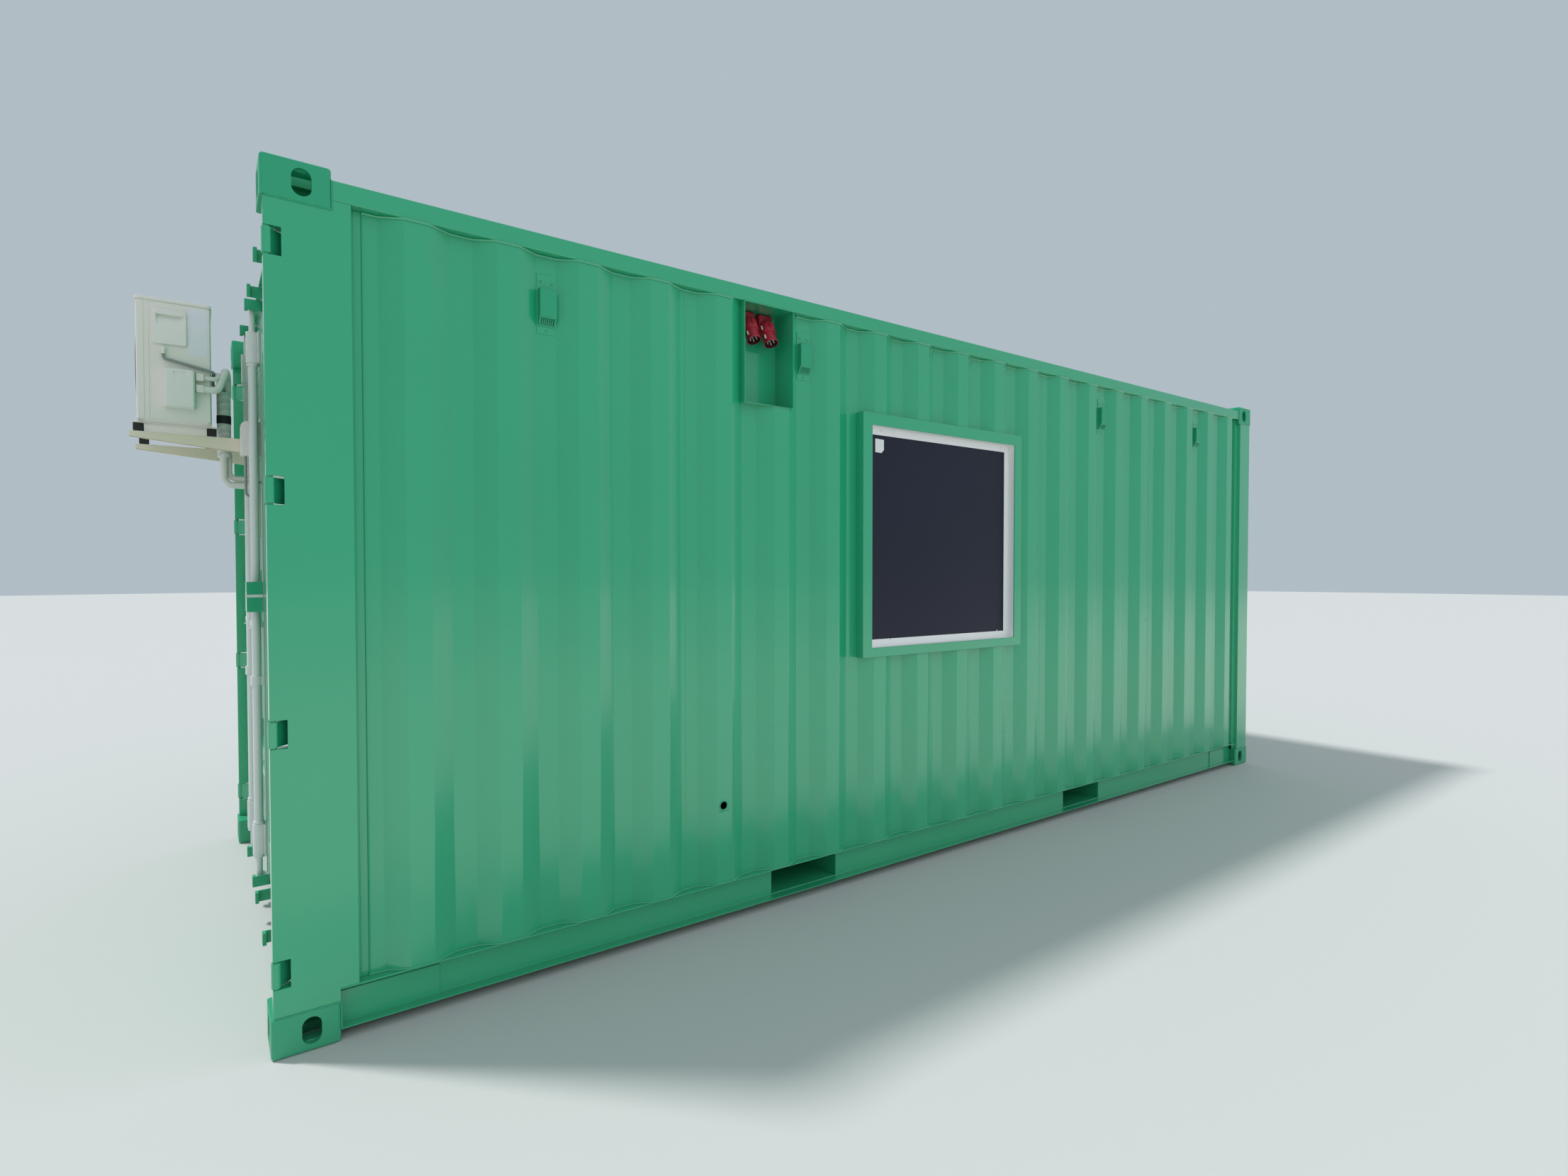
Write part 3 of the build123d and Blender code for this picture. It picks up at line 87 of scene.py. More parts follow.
def studio_floor():
    """A disc flat on the ground under the fittings. A strip beyond the wall's shade glows white to reflections only,
    a painted reflection of a sunlit floor: its share is Is Glossy Ray times two ramps along Y, one that rises
    beyond the wall's shade and one far out."""
    radius, sides = 60.0, 96
    turn = np.linspace(0.0, 2.0 * np.pi, sides, endpoint=False)
    rim = np.stack([radius * np.cos(turn), radius * np.sin(turn), np.zeros(sides)], -1)
    mesh = bpy.data.meshes.new("studio_floor")
    mesh.from_pydata(rim.tolist(), [], [list(range(sides))])
    floor = bpy.data.objects.new("studio_floor", mesh)
    material, tree, links, plain = shader("studio_floor")
    plain.inputs["Roughness"].default_value = 0.85
    plain.inputs["Base Color"].default_value = (0.60, 0.60, 0.585, 1.0)
    path, place, split, white, blend = (tree.new("ShaderNode" + kind) for kind in
                                        ("LightPath", "TexCoord", "SeparateXYZ", "Emission", "MixShader"))
    links.new(place.outputs["Object"], split.inputs[0])
    share = path.outputs["Is Glossy Ray"]
    for y_of_none, y_of_all in ((-2.0, -2.6), (-16.0, -8.0)):
        ramp = tree.new("ShaderNodeMapRange")
        ramp.inputs["From Min"].default_value = y_of_none
        ramp.inputs["From Max"].default_value = y_of_all
        links.new(split.outputs["Y"], ramp.inputs["Value"])
        share = product(tree, links, ramp.outputs[0], share)
    # Painted reflection: an emission of strength 1 that only glossy rays see.
    white.inputs["Color"].default_value = (1.0, 0.99, 0.97, 1.0)
    white.inputs["Strength"].default_value = 1.0
    links.new(share, blend.inputs[0])
    links.new(plain.outputs[0], blend.inputs[1])
    links.new(white.outputs[0], blend.inputs[2])
    links.new(blend.outputs[0], tree["Material Output"].inputs["Surface"])
    mesh.materials.append(material)
    bpy.context.scene.collection.objects.link(floor)


def studio_light():
    """Pale blue sky at an even level, the same to the eye, in reflections and as light. The sun and two weak
    fills, each with its strength, width in radians and turn in degrees, don't glare in the paint."""
    world = bpy.data.worlds.new("studio")
    bpy.context.scene.world = world
    world.use_nodes = True
    sky = world.node_tree.nodes["Background"]
    sky.inputs["Color"].default_value = (0.44, 0.51, 0.56, 1.0)
    sky.inputs["Strength"].default_value = 1.0
    suns = (("key", 2.45, 0.10, (30.7, 0.0, -132.3)), ("fill", 0.34, 1.0, (64.0, 0.0, -4.0)),
            ("side", 0.24, 1.0, (64.0, 0.0, 60.0)))
    for name, strength, width, turn in suns:
        lamp = bpy.data.objects.new(name, bpy.data.lights.new(name, "SUN"))
        lamp.data.energy = strength
        lamp.data.angle = width
        lamp.visible_glossy = False
        lamp.rotation_euler = [math.radians(a) for a in turn]
        bpy.context.scene.collection.objects.link(lamp)


studio_floor()
studio_light()


# Green paint: one sprayed coat of satin enamel over the whole steel shell, with the slight orange peel of a
# spray gun, plates that aren't quite flat, and a little yard dust low down.
def sprayed_group():
    """Bump height from fine noise and slow waves, patches of tone, and dust that fades out some way up."""
    dust_height = 0.35
    group = bpy.data.node_groups.new("sprayed_plate", "ShaderNodeTree")
    for name, usual in (("Peel scale", 260.0), ("Peel depth", 0.2), ("Wave depth", 1.0)):
        socket = group.interface.new_socket(name, in_out="INPUT", socket_type="NodeSocketFloat")
        socket.default_value = usual
    for name in ("Height", "Patch", "Dust"):
        group.interface.new_socket(name, in_out="OUTPUT", socket_type="NodeSocketFloat")
    tree, links = group.nodes, group.links
    given, out = tree.new("NodeGroupInput"), tree.new("NodeGroupOutput")
    place = tree.new("ShaderNodeTexCoord")
    peel, wave, patch = (tree.new("ShaderNodeTexNoise") for _ in range(3))
    wave.inputs["Scale"].default_value = 3.2
    wave.inputs["Detail"].default_value = 1.0
    patch.inputs["Scale"].default_value = 1.1
    patch.inputs["Detail"].default_value = 5.0
    peel.inputs["Detail"].default_value = 2.0
    for texture in (peel, wave, patch):
        links.new(place.outputs["Object"], texture.inputs["Vector"])
    links.new(given.outputs["Peel scale"], peel.inputs["Scale"])
    total = tree.new("ShaderNodeMath")
    links.new(product(tree, links, peel.outputs["Fac"], given.outputs["Peel depth"]), total.inputs[0])
    links.new(product(tree, links, wave.outputs["Fac"], given.outputs["Wave depth"]), total.inputs[1])
    links.new(total.outputs[0], out.inputs["Height"])
    links.new(patch.outputs["Fac"], out.inputs["Patch"])
    level = tree.new("ShaderNodeSeparateXYZ")
    links.new(place.outputs["Object"], level.inputs[0])
    low_down = tree.new("ShaderNodeMapRange")
    low_down.inputs["From Max"].default_value = dust_height
    low_down.inputs["To Min"].default_value = 1.0
    low_down.inputs["To Max"].default_value = 0.0
    links.new(level.outputs["Z"], low_down.inputs["Value"])
    links.new(product(tree, links, low_down.outputs[0], patch.outputs["Fac"]), out.inputs["Dust"])
    return group


sprayed_plate = sprayed_group()


def mixed(tree, links, first, second, share):
    """Colour that goes from the first to the second as share goes from 0 to 1. Each is four values or an output."""
    mix = tree.new("ShaderNodeMix")
    mix.data_type = "RGBA"
    for name, colour in (("A", first), ("B", second)):
        if isinstance(colour, tuple):
            mix.inputs[name].default_value = colour
        else:
            links.new(colour, mix.inputs[name])
    links.new(share, mix.inputs["Factor"])
    return mix.outputs["Result"]


def raised(tree, links, plain, height, strength, distance):
    """Bump on the shader's Normal, for a surface that stands out by height * distance, at the given strength."""
    relief = tree.new("ShaderNodeBump")
    relief.inputs["Strength"].default_value = strength
    relief.inputs["Distance"].default_value = distance
    links.new(height, relief.inputs["Height"])
    links.new(relief.outputs[0], plain.inputs["Normal"])


def coated(name, colour, shade, roughness, bump, peel=0.2, wave=1.0, dust=0.0, metal=0.0, scale=260.0, coat=0.0):
    """Coated or moulded surface: two close colours by patches, dust low down, and a bump of peel and waves."""
    material, tree, links, plain = shader(name)
    group = tree.new("ShaderNodeGroup")
    group.node_tree = sprayed_plate
    group.inputs["Peel scale"].default_value = scale
    group.inputs["Peel depth"].default_value = peel
    group.inputs["Wave depth"].default_value = wave
    tone = mixed(tree, links, linear(*colour), linear(*shade), group.outputs["Patch"])
    if dust:
        share = tree.new("ShaderNodeMath")
        share.operation = "MULTIPLY"
        share.inputs[1].default_value = dust
        links.new(group.outputs["Dust"], share.inputs[0])
        tone = mixed(tree, links, tone, linear(150, 150, 138), share.outputs[0])
    links.new(tone, plain.inputs["Base Color"])
    rough = tree.new("ShaderNodeMapRange")
    rough.inputs["To Min"].default_value = roughness - 0.05
    rough.inputs["To Max"].default_value = roughness + 0.08
    links.new(group.outputs["Patch"], rough.inputs["Value"])
    links.new(rough.outputs[0], plain.inputs["Roughness"])
    plain.inputs["Metallic"].default_value = metal
    plain.inputs["Coat Weight"].default_value = coat
    plain.inputs["Coat Roughness"].default_value = 0.10
    raised(tree, links, plain, group.outputs["Height"], bump, 0.002)
    return material


green_paint = coated("green_paint", (34, 168, 118), (42, 177, 128), 0.24, 0.35, dust=0.12, coat=0.9)
cast_green = coated("cast_green", (36, 162, 116), (42, 168, 124), 0.38, 0.6, peel=0.8, wave=0.4, dust=0.15)


# Cast corner fittings, posts, rails and sills: steel castings and pressed plate, welded into one frame. The
# pressings have small bend radii and the castings soft edges, which the light picks out.
edge_angle = math.radians(35.0)


def even_shading(item):
    """Normals follow the broad faces, so that flats stay flat up to their rounded edges."""
    item.modifiers.new("normals", "WEIGHTED_NORMAL").keep_sharp = True


def softened(name, width, finish, body="shell", segments=2, whole=True):
    """A copy of a CAD node's triangles, merged into whole faces where none has a hole in it, with its edges
    rounded by a bevel of the given width. It rides on the body and stands for the node."""
    source = nodes[name].data
    shape = bmesh.new()
    shape.from_mesh(source)
    bmesh.ops.remove_doubles(shape, verts=shape.verts, dist=1e-5)
    if whole:
        bmesh.ops.dissolve_limit(shape, angle_limit=math.radians(1.0), verts=shape.verts, edges=shape.edges)
    mesh = bpy.data.meshes.new(name + "_finished")
    shape.to_mesh(mesh)
    shape.free()
    for layer in ("custom_normal", "sharp_face", "sharp_edge"):
        if layer in mesh.attributes:
            mesh.attributes.remove(mesh.attributes[layer])
    mesh.polygons.foreach_set("use_smooth", np.ones(len(mesh.polygons), dtype=bool))
    mesh.materials.clear()
    mesh.materials.append(finish)
    item = bpy.data.objects.new(name + "_finished", mesh)
    bpy.context.scene.collection.objects.link(item)
    if width:
        edge = item.modifiers.new("edge", "BEVEL")
        edge.width = width
        edge.segments = segments
        edge.limit_method = "ANGLE"
        edge.angle_limit = edge_angle
        edge.use_clamp_overlap = False
        even_shading(item)
    else:
        mesh.set_sharp_from_angle(angle=edge_angle)
    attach(item, body)
    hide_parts(name)
    return item


def refinish(name, finish):
    """The CAD node keeps its shape and gets a new material."""
    nodes[name].data.materials.clear()
    nodes[name].data.materials.append(finish)


refinish("bottom_corner_fittings", cast_green)
refinish("top_corner_fittings", cast_green)
frame_edges = (("door_post_right", 0.0014), ("door_post_left", 0.0014), ("rear_posts", 0.0014),
               ("door_sill", 0.0018), ("door_header", 0.0014), ("top_rails", 0.004),
               ("bottom_rail_front", 0.0018), ("bottom_rail_back", 0.0018), ("rear_rails", 0.004),
               ("roof_end_plates", 0.0006))
for name, width in frame_edges:
    softened(name, width, green_paint, whole=not name.startswith("bottom_rail"))


# Underframe: pressed cross members and two welded fork pockets in the same green, and a floor of plywood
# boards 1.2 m wide laid across them, brown with sealer.
def boards():
    """Plywood: grain drawn out along Y, and a dark joint where the distance along X from the nearest whole board
    width, which ping-pongs between 0 and half a board, is less than half the joint."""
    half_board, half_joint = 0.6, 0.0015
    material, tree, links, plain = shader("plywood")
    place, mapping = tree.new("ShaderNodeTexCoord"), tree.new("ShaderNodeMapping")
    mapping.inputs["Scale"].default_value = (30.0, 1.5, 30.0)
    grain = tree.new("ShaderNodeTexNoise")
    grain.inputs["Scale"].default_value = 2.0
    grain.inputs["Detail"].default_value = 6.0
    links.new(place.outputs["Object"], mapping.inputs["Vector"])
    links.new(mapping.outputs[0], grain.inputs["Vector"])
    wood = mixed(tree, links, linear(112, 82, 54), linear(146, 112, 76), grain.outputs["Fac"])
    split, part, joint = tree.new("ShaderNodeSeparateXYZ"), tree.new("ShaderNodeMath"), tree.new("ShaderNodeMath")
    part.operation = "PINGPONG"
    part.inputs[1].default_value = half_board
    joint.operation = "LESS_THAN"
    joint.inputs[1].default_value = half_joint
    links.new(place.outputs["Object"], split.inputs[0])
    links.new(split.outputs["X"], part.inputs[0])
    links.new(part.outputs[0], joint.inputs[0])
    lined = mixed(tree, links, wood, linear(40, 30, 22), joint.outputs[0])
    links.new(lined, plain.inputs["Base Color"])
    plain.inputs["Roughness"].default_value = 0.55
    raised(tree, links, plain, grain.outputs["Fac"], 0.3, 0.001)
    return material


refinish("floor", boards())
softened("cross_members", 0.0015, green_paint)
softened("fork_pockets", 0.0015, green_paint)


# Long walls and rear wall: 2 mm sheet pressed into trapezoid waves with round folds, welded all round to the
# posts and rails. The front wall is cut for the window, the recess and one round cable hole.
def quads(number):
    """Quads between neighbours of a grid of point numbers: each with its next row, next both, next column."""
    return np.stack([number[:-1, :-1], number[1:, :-1], number[1:, 1:], number[:-1, 1:]], -1)


def grid_faces(rows, columns, keep=None, turned_over=False):
    """Faces of a grid of points numbered row by row, less those where keep is false."""
    faces = quads(np.arange(rows * columns).reshape(rows, columns))
    faces = faces[keep] if keep is not None else faces.reshape(-1, 4)
    return faces[:, ::-1] if turned_over else faces


def piece(name, points, faces, finish, body, slot, *stands_for, closed=False):
    """New mesh object in its place, with its finish and body; the slot argument is not used. A closed one is merged
    and has its normals recalculated."""
    mesh = bpy.data.meshes.new(name)
    faces = faces.tolist() if isinstance(faces, np.ndarray) else faces
    mesh.from_pydata(np.asarray(points, float).reshape(-1, 3).tolist(), [], faces)
    if closed:
        shape = bmesh.new()
        shape.from_mesh(mesh)
        bmesh.ops.remove_doubles(shape, verts=shape.verts, dist=1e-6)
        bmesh.ops.dissolve_degenerate(shape, edges=shape.edges, dist=1e-7)
        bmesh.ops.recalc_face_normals(shape, faces=shape.faces)
        shape.to_mesh(mesh)
        shape.free()
    mesh.polygons.foreach_set("use_smooth", np.ones(len(mesh.polygons), dtype=bool))
    mesh.set_sharp_from_angle(angle=math.radians(40.0))
    mesh.materials.append(finish)
    item = bpy.data.objects.new(name, mesh)
    bpy.context.scene.collection.objects.link(item)
    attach(item, body)
    if stands_for:
        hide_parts(*stands_for)
    return item


def thick(item, thickness):
    """The skin is given its thickness behind it."""
    wall = item.modifiers.new("thickness", "SOLIDIFY")
    wall.thickness = thickness
    wall.offset = -1.0
    wall.use_even_offset = True
    even_shading(item)
    return item


def rounded_line(corners, radius, steps=4):
    """Line with round folds. Each corner C becomes (1-s)^2 A + 2s(1-s) C + s^2 B for s from 0 to 1, where A and
    B lie radius * tan(turn / 2) before and after it."""
    corners = np.asarray(corners, float)
    run = np.diff(corners, axis=0)
    run /= np.linalg.norm(run, axis=1)[:, None]
    turn = np.arccos(np.clip((run[:-1] * run[1:]).sum(1), -1.0, 1.0))
    cut = (radius * np.tan(turn / 2.0))[:, None]
    before, after = corners[1:-1] - run[:-1] * cut, corners[1:-1] + run[1:] * cut
    s = np.linspace(0.0, 1.0, steps + 1)[None, :, None]
    bends = (1 - s) ** 2 * before[:, None] + 2 * s * (1 - s) * corners[1:-1, None] + s ** 2 * after[:, None]
    return np.concatenate([corners[:1], bends.reshape(-1, corners.shape[1]), corners[-1:]])


def upright_sheet(line, levels, openings=(), turned_over=False):
    """Sheet whose points are line[i] raised to levels[j], with no quads inside an opening, which is given as
    (low along X, high along X, low level, high level)."""
    points = np.empty((len(line), len(levels), 3))
    points[..., :2] = line[:, None]
    points[..., 2] = levels
    middle = (points[:-1, :-1] + points[1:, 1:]) / 2.0
    keep = np.ones(middle.shape[:2], dtype=bool)
    for low_x, high_x, low_z, high_z in openings:
        keep &= ~((middle[..., 0] > low_x) & (middle[..., 0] < high_x)
                  & (middle[..., 2] > low_z) & (middle[..., 2] < high_z))
    return points, grid_faces(*points.shape[:2], keep, turned_over)


def tube(path, radius, up=(0.0, 0.0, 1.0), sides=8, closed=False):
    """Tube round a path: path + radius * (cos(a) * side + sin(a) * over), where side is along the cross product
    of the path's direction and up, and over is square to both. Ends are closed, or joined for a loop."""
    path = np.asarray(path, float)
    if closed:
        along = np.roll(path, -1, 0) - np.roll(path, 1, 0)
    else:
        along = np.gradient(path, axis=0)
    along /= np.linalg.norm(along, axis=1)[:, None]
    side = np.cross(along, up)
    side /= np.linalg.norm(side, axis=1)[:, None]
    over = np.cross(side, along)
    a = np.linspace(0.0, 2.0 * np.pi, sides, endpoint=False)[None, :, None]
    radius = np.broadcast_to(np.asarray(radius, float), len(path))[:, None, None]
    points = path[:, None] + radius * (np.cos(a) * side[:, None] + np.sin(a) * over[:, None])
    count = len(path)
    number = np.arange(count * sides).reshape(count, sides)
    number = np.vstack([number, number[:1]]) if closed else number
    number = np.hstack([number, number[:, :1]])
    faces = quads(number).reshape(-1, 4).tolist()
    if not closed:
        faces += [number[0, :-1].tolist(), number[-1, :-1][::-1].tolist()]
    return points.reshape(-1, 3), faces


def joined(shapes):
    """Several (points, faces) as one."""
    points, faces, start = [], [], 0
    for part, its_faces in shapes:
        part = np.asarray(part, float).reshape(-1, 3)
        its_faces = its_faces.tolist() if isinstance(its_faces, np.ndarray) else its_faces
        points.append(part)
        faces += [[start + corner for corner in face] for face in its_faces]
        start += len(part)
    return np.concatenate(points), faces


sheet = 0.002
wall_skin, wall_in = -1.214, -1.178
wall_foot, wall_head = 0.161, 2.500
wall_start, wall_end = door_end + 0.260, door_end + 5.858
wave_middle, wave_pitch, wave_fold = door_end + 3.079, 0.281, 0.011
wave_x = wave_middle + wave_pitch * np.arange(-10, 10)[:, None] + np.array([0.035, 0.1045, 0.1765, 0.246])
wave_y = np.broadcast_to([wall_in, wall_skin, wall_skin, wall_in], wave_x.shape)
wall_corners = np.stack([wave_x.ravel(), wave_y.ravel()], -1)
wall_corners = np.vstack([[wall_start, wall_in], wall_corners, [wall_end, wall_in]])
wall_line = rounded_line(wall_corners, wave_fold)
window = (door_end + 2.262, door_end + 3.393, 1.017, 2.130)
recess = (door_end + 1.629, door_end + 1.875, 2.092, 2.500)
hole_x, hole_z, hole_radius, hole_patch, hole_steps = door_end + 1.528, 0.475, 0.017, 0.025, 32
patch = (hole_x - hole_patch, hole_x + hole_patch, hole_z - hole_patch, hole_z + hole_patch)


def ring_patch():
    """Flat square with a round hole: inner ring at the hole's radius, outer ring at half / max(|cos|, |sin|)."""
    turn = np.linspace(0.0, 2.0 * np.pi, hole_steps, endpoint=False)
    reach = hole_patch / np.maximum(np.abs(np.cos(turn)), np.abs(np.sin(turn)))
    rings = np.stack([np.full(hole_steps, hole_radius), reach])
    points = np.stack([hole_x + rings * np.cos(turn), np.full(rings.shape, wall_skin),
                       hole_z + rings * np.sin(turn)], -1)
    number = np.arange(rings.size).reshape(rings.shape)
    return points, quads(np.hstack([number, number[:, :1]])).reshape(-1, 4)


columns = np.union1d(wall_line[:, 0], [window[0], window[1], recess[0], recess[1], patch[0], patch[1]])
cut_line = np.stack([columns, np.interp(columns, wall_line[:, 0], wall_line[:, 1])], -1)
levels = np.unique([wall_foot, wall_head, window[2], window[3], recess[2], patch[2], patch[3]])
front_sheet = joined([upright_sheet(cut_line, levels, (window, recess, patch)), ring_patch()])
thick(piece("front_wall_sheet", *front_sheet, green_paint, "shell", "green_paint", "front_wall"), sheet)
back_line = wall_line * (1.0, -1.0)
back_sheet = upright_sheet(back_line, [wall_foot, wall_head], turned_over=True)
thick(piece("back_wall_sheet", *back_sheet, green_paint, "shell", "green_paint", "back_wall"), sheet)

rear_skin, rear_in, rear_half = 3.024, 2.978, 1.057
rear_pitch, rear_fold = 0.250, 0.010
rear_y = rear_pitch * np.arange(-4, 4)[:, None] + np.array([0.052, 0.070, 0.180, 0.198])
rear_x = np.broadcast_to([rear_in, rear_skin, rear_skin, rear_in], rear_y.shape)
rear_corners = np.vstack([[rear_in, -rear_half], np.stack([rear_x.ravel(), rear_y.ravel()], -1),
                          [rear_in, rear_half]])
rear_sheet = upright_sheet(rounded_line(rear_corners, rear_fold), [wall_foot, wall_head])
thick(piece("rear_wall_sheet", *rear_sheet, green_paint, "shell", "green_paint", "rear_wall"), sheet)


# Weld beads: the sheets' feet and heads are welded along the rails, and their upright joints are butt welded.
# Beads join the corner fittings to posts and rails too, and the cable hole has a rolled rim.
def bead_on(line, level, out, radius=0.003):
    """Bead along a plan line, drawn out from the sheet by a little and set at one level."""
    path = np.column_stack([line + out, np.full(len(line), level)])
    return tube(path, radius, sides=6)


def upright_bead(x, y, low, high, radius=0.0024):
    """Bead straight up a joint."""
    rise = np.linspace(low, high, 6)
    return tube(np.column_stack([np.full_like(rise, x), np.full_like(rise, y), rise]), radius, up=(1.0, 0.0, 0.0),
                sides=6)


foot_bead, front_head_bead, head_bead = wall_foot + 0.0015, wall_head - 0.003, wall_head - 0.002
foot_radius, front_head_radius = 0.0035, 0.0045
bead_line = rounded_line(wall_corners, 0.030)
back_bead_line = bead_line * (1.0, -1.0)
left_run = bead_line[bead_line[:, 0] < recess[0]]
right_run = bead_line[bead_line[:, 0] > recess[1]]
forward = np.array([0.0, -0.0012])
beads = [bead_on(bead_line, foot_bead, forward, foot_radius),
         bead_on(left_run, front_head_bead, forward, front_head_radius),
         bead_on(right_run, front_head_bead, forward, front_head_radius),
         bead_on(back_bead_line, foot_bead, -forward, foot_radius), bead_on(back_bead_line, head_bead, -forward)]
for x in (1.376, 3.624, 4.748):
    beads += [upright_bead(door_end + x, side * (-wall_in - 0.0014), wall_foot, wall_head) for side in (-1, 1)]
for x in (wall_start + 0.002, wall_end - 0.002):
    beads += [upright_bead(x, side * (-wall_in + 0.001), wall_foot, wall_head, 0.0028) for side in (-1, 1)]
rear_bead = rounded_line(rear_corners, 0.020)
beads += [bead_on(rear_bead, level, np.array([0.0012, 0.0])) for level in (foot_bead, head_bead)]
piece("wall_welds", *joined(beads), green_paint, "shell", "green_paint", closed=True)

seam_start, seam_end = 3.018, 2.850
seam_run = np.linspace(seam_start, seam_end, 14)
corner_beads = []
for end in (-1, 1):
    for side in (-1, 1):
        xs = end * seam_run
        wander = 0.0006 * np.sin(140.0 * xs)
        for z in (0.1185, 2.4725):
            seam = np.column_stack([xs, np.full_like(xs, side * 1.2150), z + wander])
            corner_beads.append(tube(seam, 0.0030, sides=6))
        for low, high in ((0.040, 0.117), (2.474, 2.557)):
            corner_beads.append(upright_bead(end * seam_end, side * 1.2145, low, high, 0.0026))
piece("fitting_welds", *joined(corner_beads), cast_green, "shell", "green_paint", closed=True)

turn = np.linspace(0.0, 2.0 * np.pi, hole_steps, endpoint=False)
rim_radius = hole_radius + 0.0005
rim = np.stack([hole_x + rim_radius * np.cos(turn), np.full_like(turn, wall_skin - 0.0005),
                hole_z + rim_radius * np.sin(turn)], -1)
piece("cable_hole_rim", *tube(rim, 0.0024, up=(0.0, 1.0, 0.0), closed=True), green_paint, "shell",
      "green_paint", closed=True)


# Roof: 2 mm sheets stamped with raised ribs across, which die out before the side rails. The sheets are welded
# along the top rails and to the end plates.
def roof_sheet():
    """z = level + height * S(x) * F(y). S rises from 0 to 1 over the slope at each side of a rib and F falls from
    1 to 0 over the fade at its ends, both as t^2 (3 - 2t)."""
    level, height = 2.562, 0.020
    ribs, pitch, half_rib, slope = 27, 0.209, 0.059, 0.0135
    rib_end, fade_out = 1.134, 0.050
    half_width, end_plate = 1.194, 0.178
    offsets = np.array([0.0, 0.0455, 0.049, 0.0523, 0.0556, half_rib])
    centres = (np.arange(ribs) + 0.5 - ribs / 2.0) * pitch
    xs = np.unique((centres[:, None] + np.concatenate([-offsets, offsets])).ravel())
    xs = np.concatenate([[door_end + end_plate], xs, [rear_end - end_plate]])
    run_out = np.linspace(0.0, fade_out, 7)
    flat_ys = [-half_width, -0.55, 0.0, 0.55, half_width]
    ys = np.unique(np.concatenate([-rib_end + run_out, rib_end - run_out, flat_ys]))
    nearest = np.abs(xs[:, None] - centres[None, :]).min(1)
    rise = np.clip((half_rib - nearest) / slope, 0.0, 1.0)
    fade = np.clip((rib_end - np.abs(ys)) / fade_out, 0.0, 1.0)
    rise, fade = rise ** 2 * (3 - 2 * rise), fade ** 2 * (3 - 2 * fade)
    x, y = np.meshgrid(xs, ys, indexing="ij")
    points = np.stack([x, y, level + height * rise[:, None] * fade[None, :]], -1)
    return points, grid_faces(len(xs), len(ys))


thick(piece("roof_sheet", *roof_sheet(), green_paint, "shell", "green_paint", "roof"), sheet)


# Doors: each leaf is a welded frame of hollow stiles and rails round a sheet pressed into three wide level
# waves. Extruded rubber seals line the edges, and cranked blades carry the leaves on pins.
pale_seal = coated("pale_seal", (150, 186, 168), (138, 176, 156), 0.5, 0.2)
panel_face, panel_back = door_end + 0.069, door_end + 0.105
panel_low, panel_waves, panel_pitch, panel_fold = 0.319, 3, 0.651, 0.014
panel_folds = np.array([-0.120, -0.080, 0.080, 0.120])
panel_z = panel_low + panel_pitch * (np.arange(panel_waves)[:, None] + 0.5) + panel_folds
panel_x = np.broadcast_to([panel_face, panel_back, panel_back, panel_face], panel_z.shape)
panel_corners = np.vstack([[panel_face, panel_low], np.stack([panel_x.ravel(), panel_z.ravel()], -1),
                           [panel_face, panel_low + panel_waves * panel_pitch]])
panel_line = rounded_line(panel_corners, panel_fold)


def door_sheet(low, high):
    """Level waves: the panel's line (X, Z) carried along Y from one stile to the other."""
    ys = np.linspace(low, high, 3)
    points = np.empty((len(ys), len(panel_line), 3))
    points[..., 0] = panel_line[:, 0]
    points[..., 1] = ys[:, None]
    points[..., 2] = panel_line[:, 1]
    return points, grid_faces(len(ys), len(panel_line), turned_over=True)


for side, low, high, body in (("right", -1.061, -0.108, "right_door"), ("left", 0.108, 1.061, "shell")):
    thick(piece(side + "_door_sheet", *door_sheet(low, high), green_paint, body, "green_paint",
                side + "_door_panel"), sheet)
    softened(side + "_door_frame", 0.003, green_paint, body, segments=3)
    softened(side + "_door_hinges", 0.0015, green_paint, body)
    refinish(side + "_door_seal", pale_seal)
softened("keepers", 0.0015, cast_green)


# Lock gear of the left door: zinc plated tube rods in welded sleeves, with forged cams painted green, flat
# handles on eared hubs, and a welded box that shields a padlock.
zinc = coated("zinc", (232, 233, 230), (218, 220, 217), 0.36, 0.4, peel=0.5, wave=0.1, metal=0.05)


def green_cams(item):
    """Cams at both ends of a rod get the cast green finish, by the level of each face's middle."""
    lower_cam_top, upper_cam_foot = 0.124, 2.498
    mesh = item.data
    mesh.materials.append(cast_green)
    middles = np.empty(3 * len(mesh.polygons))
    mesh.polygons.foreach_get("center", middles)
    level = middles.reshape(-1, 3)[:, 2]
    on_cam = (level < lower_cam_top) | (level > upper_cam_foot)
    mesh.polygons.foreach_set("material_index", on_cam.astype(np.int32))


for side in ("inner", "outer"):
    green_cams(softened(side + "_lock_rod", 0.0008, zinc, side + "_rod"))
    softened(side + "_handle", 0.0012, zinc, side + "_handle_body")
softened("rod_sleeves", 0.001, zinc)
softened("handle_rests", 0.001, zinc)
softened("lock_box", 0.002, green_paint)
softened("lock_bar", 0.0008, zinc)


# Window: a pressed steel frame in the wall's green, and in it a pane behind white angle strips that are
# screwed at their corners. The pane is an opaque dark blue-grey sheet with weak shine: painted shade for the
# dark inside behind it. A bare white paper label sticks to the pane.
# Painted shade: the pane is an opaque dark sheet in place of the dark inside seen through it.
dark_board = coated("dark_board", (26, 30, 46), (32, 36, 54), 0.30, 0.12)
dark_board.node_tree.nodes["Principled BSDF"].inputs["Specular IOR Level"].default_value = 0.25
white_trim = coated("white_trim", (246, 246, 244), (238, 239, 237), 0.4, 0.2)
softened("window_frame", 0.0025, green_paint, segments=3)
softened("window_trim", 0.0006, white_trim)
refinish("window_pane", dark_board)


